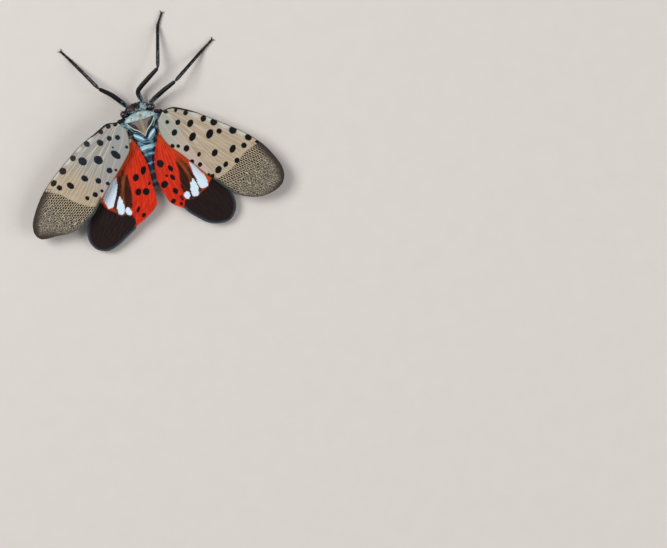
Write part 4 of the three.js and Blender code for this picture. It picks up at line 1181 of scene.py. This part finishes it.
class LanternflyBack(bpy.types.Operator):
    """Build the thorax and the plates of the back"""

    bl_idname = "lanternfly.back"
    bl_label = "Thorax and Back"

    def execute(self, context):
        colours = context.scene.lanternfly_colours
        self.pronotum(colours)
        self.mesonotum(colours)
        self.metanotum(colours)
        self.thorax(colours)
        self.hinges(colours)
        return {"FINISHED"}

    def pronotum(self, colours):
        bm = bmesh.new()
        plate(bm, PRONOTUM_HALF_WIDTH, PRONOTUM_FRONT, PRONOTUM_BACK, pronotum_top,
              grid=(90, 30), roll=0.3, roll_width=0.25)

        def marks_at(co):
            olive = 0.15 - abs(math.hypot((co.x - 0.2) / 1.3, co.y - 0.45) - 0.1)
            dots = inside_spots(co.x, co.y, PRONOTUM_DOTS)
            margin = 0.07 - (co.y - PRONOTUM_BACK_Y + 0.05)
            return olive, dots, margin

        fields(bm, "marks", marks_at)
        finished(bm, "pronotum_plate", waxy_teal_cuticle(colours), ["pronotum"])

    def mesonotum(self, colours):
        bm = bmesh.new()
        plate(bm, MESONOTUM_HALF_WIDTH, MESONOTUM_FRONT, MESONOTUM_BACK, mesonotum_top,
              grid=(130, 80), roll=0.4, roll_width=0.3)

        def marks_at(co):
            inside = inside_scutellum(co.x, co.y)
            corner = (0.62 if co.x < 0 else 0.5) * smooth_step(0.35, 1.1, abs(co.x)) - inside
            frame_line = 0.06 - abs(inside - 0.03)
            return inside, corner, frame_line

        def more_marks_at(co):
            streak = 0.1 - 0.06 * co.y - abs(co.x - 0.08)
            # The outer patch and the side line are pale wax and a painted highlight.
            outer_patch = 0.5 - math.hypot(abs(co.x) - 2.3, co.y + 0.75)
            side_line = 0.14 - abs(inside_scutellum(co.x, co.y) + 0.42)
            return streak, max(outer_patch, side_line), 0.0

        fields(bm, "marks", marks_at)
        fields(bm, "more_marks", more_marks_at)
        finished(bm, "scutellum_plate", taupe_cuticle(colours), ["mesonotum"])

    def metanotum(self, colours):
        bm = bmesh.new()
        plate(bm, METANOTUM_HALF_WIDTH, METANOTUM_FRONT, METANOTUM_BACK, metanotum_top,
              grid=(90, 40), roll=0.3, roll_width=0.2)

        def marks_at(co):
            # The crescent is pale wax and a painted highlight on the raised fold.
            share = along_metanotum(co.x, co.y)
            narrowing = 0.25 * (1 - smooth_step(0.1, 0.5, abs(co.x)))
            crescent = 0.26 - abs(share - 0.5) * 0.9 - narrowing
            hind_edge = 0.09 - abs(share - 0.08) * 0.9
            return max(crescent, hind_edge), 0.0, 0.0

        fields(bm, "marks", marks_at)
        finished(bm, "metanotum_plate", pale_blue_cuticle(colours), ["metanotum"])

    def thorax(self, colours):
        half_width, top, bottom = (
            curve_through(pairs) for pairs in (THORAX_HALF_WIDTH, THORAX_TOP, THORAX_BOTTOM))
        bm = bmesh.new()

        def place(share, angle):
            y = THORAX_FRONT_Y - (THORAX_FRONT_Y - THORAX_BACK_Y) * crowded(share, 0.7)
            cap = rounded_end(min(THORAX_FRONT_Y - y, y - THORAX_BACK_Y), 4)
            middle, half = (top(y) + bottom(y)) / 2, (top(y) - bottom(y)) / 2
            c, s = signed_power(math.cos(angle), 0.75), signed_power(math.sin(angle), 0.75)
            seam = sum(ridge(y - line, 0.07) for line in THORAX_SEAMS)
            side = 1 - 0.05 * seam + 0.04 * math.sin(6 * y) * math.cos(3 * angle)
            return Vector((half_width(y) * c * cap * side, y, middle + half * s * cap * side))

        drawn_out(bm, 64, 60, place)
        oval(bm, WAIST_CENTRE, WAIST_RADII, 40, 24)
        for path, _, _ in LEGS.values():
            x, y, z = path[0]
            side = math.copysign(1, x)
            oval(bm, Vector((x + 0.45 * side, y - 0.1, z + 0.75)), (0.75, 0.6, 0.55), 20, 12)
        for plan in (RIGHT_FOREWING, LEFT_FOREWING):
            x, y = plan.point(-0.2, -0.7)
            oval(bm, Vector((x, y, FOREWING_BASE_Z - 0.5)), (0.9, 0.8, 0.28), 28, 14)
            x, y = HINDWING_SOCKET
            oval(bm, Vector((x * plan.side, y, HINDWING_BASE_Z + 0.15)), (0.45, 0.7, 0.35), 28, 14)
        finished(bm, "thorax_flanks", dark_cuticle(colours), ["thorax"])

    def hinges(self, colours):
        material = black_cuticle(colours)
        for plan, name in ((RIGHT_FOREWING, "tegula_right"), (LEFT_FOREWING, "tegula_left")):
            bm = bmesh.new()
            x, y = plan.point(0.45, 0.35)
            oval(bm, Vector((x, y, FOREWING_BASE_Z + 0.1)), (0.32, 0.26, 0.22), 28, 18)
            inner_x, inner_y = plan.point(-0.35, 0.1)
            oval(bm, Vector((inner_x, inner_y, FOREWING_BASE_Z - 0.1)), (0.36, 0.3, 0.24), 24, 14)
            root_x, root_y = plan.point(-1.2, -0.3)
            limb(bm, [(root_x, root_y, 4.0, 0.34), (x, y, FOREWING_BASE_Z - 0.05, 0.2)], 14, 16)
            waxed(bm, TEGULA_WAX)
            finished(bm, name, material)


class LanternflyAbdomen(bpy.types.Operator):
    """Build the banded abdomen"""

    bl_idname = "lanternfly.abdomen"
    bl_label = "Abdomen"

    def execute(self, context):
        bm = bmesh.new()
        ends = ABDOMEN_SEGMENT_ENDS

        def within_segment(y):
            for a, b in zip(ends, ends[1:]):
                if y >= b:
                    return (a - y) / (a - b)
            return 1.0

        def place(share, angle):
            y = ABDOMEN_FRONT_Y - (ABDOMEN_FRONT_Y - ABDOMEN_TIP_Y) * share
            half_width, half_height = abdomen_half_width(y), abdomen_half_height(y)
            step = ABDOMEN_STEP * (within_segment(y) ** 0.7 * 2 - 1) * smooth_step(0, 0.9, half_width)
            cap = rounded_end(min(ABDOMEN_FRONT_Y - y, y - ABDOMEN_TIP_Y), 5)
            wide, tall = (half_width + step) * cap, (half_height + step) * cap
            keel = 1 + 0.04 * max(math.sin(angle), 0) ** 12
            return Vector((abdomen_middle(y) + wide * math.cos(angle), y,
                           ABDOMEN_BELLY_Z + half_height + tall * math.sin(angle) * keel))

        drawn_out(bm, 56, 150, place)

        def marks_at(co):
            pale, grey = (
                max(half - abs(co.y - y) for y, half in bands) for bands in (PALE_BANDS, GREY_BANDS))
            height = (co.z - ABDOMEN_BELLY_Z) / (2 * abdomen_half_height(co.y))
            yellow = 0.34 - within_segment(co.y) - 2.2 * max(height - 0.42, 0)
            return pale, grey, yellow

        fields(bm, "marks", marks_at)
        material = banded_cuticle(context.scene.lanternfly_colours)
        finished(bm, "abdomen_skin", material, ["abdomen"])
        return {"FINISHED"}


class LanternflyHead(bpy.types.Operator):
    """Build the head, the eyes, the antennae and the rostrum"""

    bl_idname = "lanternfly.head"
    bl_label = "Head"

    def execute(self, context):
        colours = context.scene.lanternfly_colours
        black = black_cuticle(colours)
        self.head(black)
        self.rostrum(black)
        eye, orange = compound_eye(colours), orange_pedicel(colours)
        for side, word in ((1, "right"), (-1, "left")):
            bm = bmesh.new()
            oval(bm, Vector((EYE_CENTRE.x * side, EYE_CENTRE.y, EYE_CENTRE.z)), EYE_RADII, 40, 28)
            finished(bm, "compound_eye_" + word, eye, ["eye_" + word])
            self.antenna(orange, black, side, word)
        return {"FINISHED"}

    def head(self, material):
        half_width, front, back = (
            curve_through(pairs) for pairs in (HEAD_HALF_WIDTH, HEAD_FRONT, HEAD_BACK))
        bm = bmesh.new()

        def place(share, angle):
            z = HEAD_LOW + (HEAD_HIGH - HEAD_LOW) * crowded(share, 0.6)
            cap = rounded_end(min(z - HEAD_LOW, HEAD_HIGH - z), 7)
            middle, half = (front(z) + back(z)) / 2, (front(z) - back(z)) / 2
            x = half_width(z) * cap * signed_power(math.cos(angle), 0.8)
            y = middle + half * cap * signed_power(math.sin(angle), 0.8)
            if y > middle:
                on_face = smooth_step(2.0, 2.5, z) * (1 - smooth_step(4.2, 4.5, z))
                keels = ridge(x, 0.08) + ridge(abs(x) - 0.55, 0.08)
                y += 0.07 * on_face * keels
            return Vector((x, y, z))

        drawn_out(bm, 120, 60, place)
        limb(bm, [(0, 1.75, 2.3, 0.55), (0, 1.85, 1.6, 0.42), (0, 1.6, 1.05, 0.28)], 24, 24)
        for side in (1, -1):
            for turn in range(EYE_BEADS):
                angle = 2 * math.pi * turn / EYE_BEADS
                y = EYE_CENTRE.y + EYE_RING[0] * math.cos(angle)
                z = EYE_CENTRE.z + EYE_RING[1] * math.sin(angle)
                oval(bm, Vector((side * EYE_RING_X, y, z)), EYE_BEAD_RADII, 10, 8)
            socket = Vector((side * (ANTENNA_CENTRE.x - 0.45), ANTENNA_CENTRE.y, ANTENNA_CENTRE.z + 0.05))
            oval(bm, socket, (0.42, 0.3, 0.3), 20, 14)

        def bloom_at(co):
            # The pale patch and band on top of the head are wax with a painted sheen.
            wax_and_sheen_patch = 0.5 - math.hypot(co.x - 0.95, (co.y - 1.7) * 0.7)
            band = 0.1 - abs(co.y - 1.36) - 0.3 * max(abs(co.x - 0.2) - 0.9, 0)
            wedge = 0.13 - abs(co.x - 1.2) - 0.2 * abs(co.y - 1.9)
            wax = min(max(wax_and_sheen_patch, band), co.z - HEAD_WAX_AND_SHEEN_Z, -wedge)
            reddish = min(0.5 - math.hypot(co.x + 1.0, co.y - 1.95), co.z - HEAD_REDDISH_Z)
            return wax, reddish, 1

        fields(bm, "bloom", bloom_at)
        finished(bm, "head_capsule", material, ["head"])

    def antenna(self, material, black, side, word):
        bm = bmesh.new()
        x, y, z = ANTENNA_CENTRE.x * side, ANTENNA_CENTRE.y, ANTENNA_CENTRE.z
        oval(bm, Vector((x, y, z)), (ANTENNA_RADIUS, ANTENNA_RADIUS, ANTENNA_RADIUS * 1.05), 36, 24)
        limb(bm, [(x - 0.5 * side, y, z, 0.2), (x - 0.3 * side, y, z, 0.26)], 16, 12)
        finished(bm, "antenna_bulb_" + word, material, ["antenna_" + word])

        bm = bmesh.new()
        root = [(x + 0.28 * side, y + 0.22, z - 0.05, 0.07), (x + 0.42 * side, y + 0.34, z - 0.08, 0.08)]
        limb(bm, root, 12, 10)
        bristle = [
            (x + 0.38 * side, y + 0.32, z - 0.08, 0.035),
            (x + 0.65 * side, y + 0.55, z - 0.14, 0.024),
            (x + 0.95 * side, y + 0.82, z - 0.22, 0.01),
        ]
        limb(bm, bristle, 8, 16)
        waxed(bm, ANTENNA_BRISTLE_WAX)
        finished(bm, "antenna_bristle_" + word, black)

    def rostrum(self, material):
        bm = bmesh.new()
        for stops in ROSTRUM_JOINTS:
            limb(bm, stops, 20, 24)
        waxed(bm, ROSTRUM_WAX)
        finished(bm, "rostrum_sheath", material, ["rostrum"])


class LanternflyLegs(bpy.types.Operator):
    """Build the six legs with their feet, claws, spines and bristles"""

    bl_idname = "lanternfly.legs"
    bl_label = "Legs"

    def execute(self, context):
        sizes = context.scene.lanternfly_sizes
        material = black_cuticle(context.scene.lanternfly_colours)
        rng = random.Random(sizes.seed)
        for name, (path, heel, toe) in LEGS.items():
            bm = bmesh.new()
            bloom = bm.verts.layers.float_vector.new("bloom")
            knee, heel, toe = Vector(path[-1]), Vector((*heel, HEEL_Z)), Vector((*toe, TOE_Z))
            self.thigh(bm, path, bloom)
            start = len(bm.verts)
            self.shin_and_foot(bm, knee, heel, toe)
            self.spines(bm, knee, heel, toe, name.startswith("hind"))
            self.bristles(bm, knee, heel, toe, sizes, rng)
            bm.verts.ensure_lookup_table()
            # The shins carry patchy wax whose pale streaks also stand for a painted highlight.
            for vert in bm.verts[start:]:
                vert[bloom] = (SHIN_WAX_AND_SHEEN, -1, 0)
            finished(bm, name + "_skin", material, [name + "_femur", name + "_tibia"])
        return {"FINISHED"}

    def thigh(self, bm, path, bloom):
        root, second = Vector(path[0]), Vector(path[1])
        above = (root.x * 1.15, root.y, root.z + 0.7)
        hip = root.lerp(second, 0.62)
        coxa = limb(bm, [(*above, 0.42), (root.x, root.y, root.z + 0.15, 0.4), (*hip, 0.3)], 20, 24)
        joint = limb(bm, [(*root.lerp(second, 0.5), 0.26), (*root.lerp(second, 0.85), 0.29)], 16, 14)
        before_knee = Vector(path[-2]).lerp(Vector(path[-1]), 0.8)
        stops = [(*root.lerp(second, 0.72), 0.24)]
        stops += [(*stop, THIGH_HALF_WIDTH) for stop in path[1:-1]]
        stops += [(*before_knee, KNEE_HALF_WIDTH), (*path[-1], KNEE_HALF_WIDTH)]
        thigh = limb(bm, stops, 20, 44, flatten=0.92, ridges=0.02)
        # Wax on the hips and thighs, which also stands for a painted sheen near the root.
        for vert in coxa + joint:
            vert[bloom] = (HIP_WAX_AND_SHEEN, -1, 0)
        for vert in thigh:
            past_reach = max((vert.co - root).length - THIGH_WAX_AND_SHEEN_REACH, 0)
            vert[bloom] = (THIGH_WAX_AND_SHEEN - THIGH_WAX_AND_SHEEN_FALL * past_reach, -1, 0)

    def directions(self, knee, heel, toe):
        """The ways down the shin, forward along the foot, and sideways across it."""
        forward = Vector((toe.x - heel.x, toe.y - heel.y, 0)).normalized()
        return (heel - knee).normalized(), forward, Vector((-forward.y, forward.x, 0))

    def shin_and_foot(self, bm, knee, heel, toe):
        along, forward, aside = self.directions(knee, heel, toe)
        shin = [(*(knee + along * 0.02), 0.22), (*(knee + along * 0.4), 0.22)]
        shin += [(*knee.lerp(heel, share), thick) for share, thick in SHIN_BULGES]
        limb(bm, shin, 16, 48, ridges=0.05)
        for a, b, thick in FOOT_JOINTS:
            first, last = heel.lerp(toe, a), heel.lerp(toe, b)
            limb(bm, [(*first, thick * 0.8), (*first.lerp(last, 0.6), thick), (*last, thick * 0.95)], 14, 18)
        oval(bm, toe + forward * 0.02 - Vector((0, 0, 0.03)), (0.14, 0.14, 0.08), 14, 8)
        for side in (1, -1):
            claw = [
                (*(toe - forward * 0.12 + aside * 0.04 * side), 0.08),
                (*(toe + forward * 0.16 + aside * 0.2 * side + Vector((0, 0, 0.03))), 0.06),
                (*(toe + forward * 0.34 + aside * 0.36 * side - Vector((0, 0, 0.1))), 0.02),
            ]
            limb(bm, claw, 10, 16)

    def spines(self, bm, knee, heel, toe, spiny):
        """A row of spines down a hind leg's shin, and spurs round every heel."""
        along, forward, aside = self.directions(knee, heel, toe)
        if spiny:
            outward = aside if aside.x * knee.x > 0 else -aside
            for i in range(SHIN_SPINES):
                root = knee.lerp(heel, 0.32 + 0.16 * i) + outward * 0.12
                lean = (outward * 0.8 + along * 0.7).normalized()
                hair(bm, root, lean, SPINE_LENGTH, SPINE_RADIUS)
        for turn in range(HEEL_SPURS):
            angle = math.pi * (turn + 0.5) / HEEL_SPURS
            down = Vector((0, 0, 0.25 * math.sin(angle)))
            lean = (aside * math.cos(angle) - down + forward * 0.9).normalized()
            root = heel - along * 0.08 + aside * 0.15 * math.cos(angle)
            hair(bm, root, lean, SPUR_LENGTH, SPUR_RADIUS)

    def bristles(self, bm, knee, heel, toe, sizes, rng):
        """Bristles all round the shin. None reaches the floor."""
        along, _, aside = self.directions(knee, heel, toe)
        for _ in range(sizes.hairs_per_shin):
            place = knee.lerp(heel, rng.uniform(0.08, 0.98))
            angle = rng.uniform(0, 2 * math.pi)
            out = aside * math.cos(angle) + Vector((0, 0, 1)) * math.sin(angle)
            if place.z + out.z * 0.5 < 0.05:
                continue
            length = sizes.hair_length / MM * rng.uniform(0.7, 1.2)
            hair(bm, place + out * HAIR_ROOT, (out * 0.6 + along * 0.8).normalized(), length, HAIR_RADIUS)


class LanternflyStage(bpy.types.Operator):
    """Lay the pale floor, set the soft lights and aim the camera as in the photograph"""

    bl_idname = "lanternfly.stage"
    bl_label = "Floor, Lights and Camera"

    def execute(self, context):
        self.floor(context)
        self.lights(context)
        self.camera(context)
        return {"FINISHED"}

    def floor(self, context):
        # Matt painted board: pale warm grey with a barely visible tooth.
        material, tree = new_tree("PaleBoard")
        colour = blended(tree, grain(tree, 3.0), linear("#D9D2CB"), linear("#DED8D2"))
        closed_off(tree, material, colour, 0.8, grain(tree, 0.3), bump=0.05, depth=0.01)
        bm = bmesh.new()
        bmesh.ops.create_circle(bm, cap_ends=True, segments=96, radius=FLOOR_RADIUS)
        mesh = bpy.data.meshes.new("floor")
        bm.to_mesh(mesh)
        bm.free()
        mesh.materials.append(material)
        floor = bpy.data.objects.new("floor", mesh)
        context.scene.collection.objects.link(floor)

    def lights(self, context):
        world = bpy.data.worlds.new("PaleStudio")
        world.use_nodes = True
        background = world.node_tree.nodes["Background"]
        background.inputs["Color"].default_value = linear("#F2F4F7")
        background.inputs["Strength"].default_value = WORLD_STRENGTH
        context.scene.world = world
        for name, place, size, watts in LIGHTS:
            data = bpy.data.lights.new(name, "AREA")
            data.size = size
            data.energy = watts
            lamp = bpy.data.objects.new(name, data)
            lamp.location = place
            lamp.rotation_euler = Vector(place).to_track_quat("Z", "Y").to_euler()
            context.scene.collection.objects.link(lamp)
        context.scene.view_settings.view_transform = "Standard"

    def camera(self, context):
        along_x, along_y = math.cos(PHOTO_TURN), math.sin(PHOTO_TURN)
        across = (PHOTO_WIDTH / 2 - INSECT_PIXEL[0]) / PIXELS_PER_MM
        down = (PHOTO_HEIGHT / 2 - INSECT_PIXEL[1]) / PIXELS_PER_MM
        target = Vector((across * along_x - down * along_y, -across * along_y - down * along_x, LOOK_Z))
        height = PHOTO_WIDTH * LENS / SENSOR / PIXELS_PER_MM * CAMERA_SET_BACK
        place = Vector((0, CAMERA_Y, LOOK_Z + height))
        back = (place - target).normalized()
        right = Vector((along_y, along_x, 0)).cross(back).normalized()
        up = back.cross(right)
        turn = Matrix((right, up, back)).transposed().to_4x4()
        data = bpy.data.cameras.new("camera")
        data.lens = LENS
        data.sensor_width = SENSOR
        data.clip_start = 0.01
        data.clip_end = 10
        camera = bpy.data.objects.new("camera", data)
        camera.matrix_world = Matrix.Translation(TO_FRAME @ place) @ turn
        context.scene.collection.objects.link(camera)
        context.scene.camera = camera


class LanternflyPanel(bpy.types.Panel):
    """Lists the pieces and the settings of the lanternfly"""

    bl_idname = "LANTERNFLY_PT_main"
    bl_label = "Lanternfly"
    bl_space_type = "VIEW_3D"
    bl_region_type = "UI"
    bl_category = "Lanternfly"

    def draw(self, context):
        layout = self.layout
        for settings in (context.scene.lanternfly_sizes, context.scene.lanternfly_colours):
            column = layout.column()
            for name in settings.__annotations__:
                column.prop(settings, name)
        for operator in OPERATORS:
            layout.operator(operator.bl_idname)


OPERATORS = (
    LanternflyStage, LanternflyBack, LanternflyAbdomen, LanternflyHead, LanternflyLegs,
    LanternflyHindwings, LanternflyForewings,
)
CLASSES = (LanternflySizes, LanternflyColours, *OPERATORS, LanternflyPanel)


def register():
    for cls in CLASSES:
        bpy.utils.register_class(cls)
    bpy.types.Scene.lanternfly_sizes = bpy.props.PointerProperty(type=LanternflySizes)
    bpy.types.Scene.lanternfly_colours = bpy.props.PointerProperty(type=LanternflyColours)


def unregister():
    del bpy.types.Scene.lanternfly_colours
    del bpy.types.Scene.lanternfly_sizes
    for cls in reversed(CLASSES):
        bpy.utils.unregister_class(cls)


def main():
    register()
    bpy.ops.lanternfly.stage()
    bpy.ops.lanternfly.back()
    bpy.ops.lanternfly.abdomen()
    bpy.ops.lanternfly.head()
    bpy.ops.lanternfly.legs()
    bpy.ops.lanternfly.hindwings()
    bpy.ops.lanternfly.forewings()


if __name__ == "__main__":
    main()
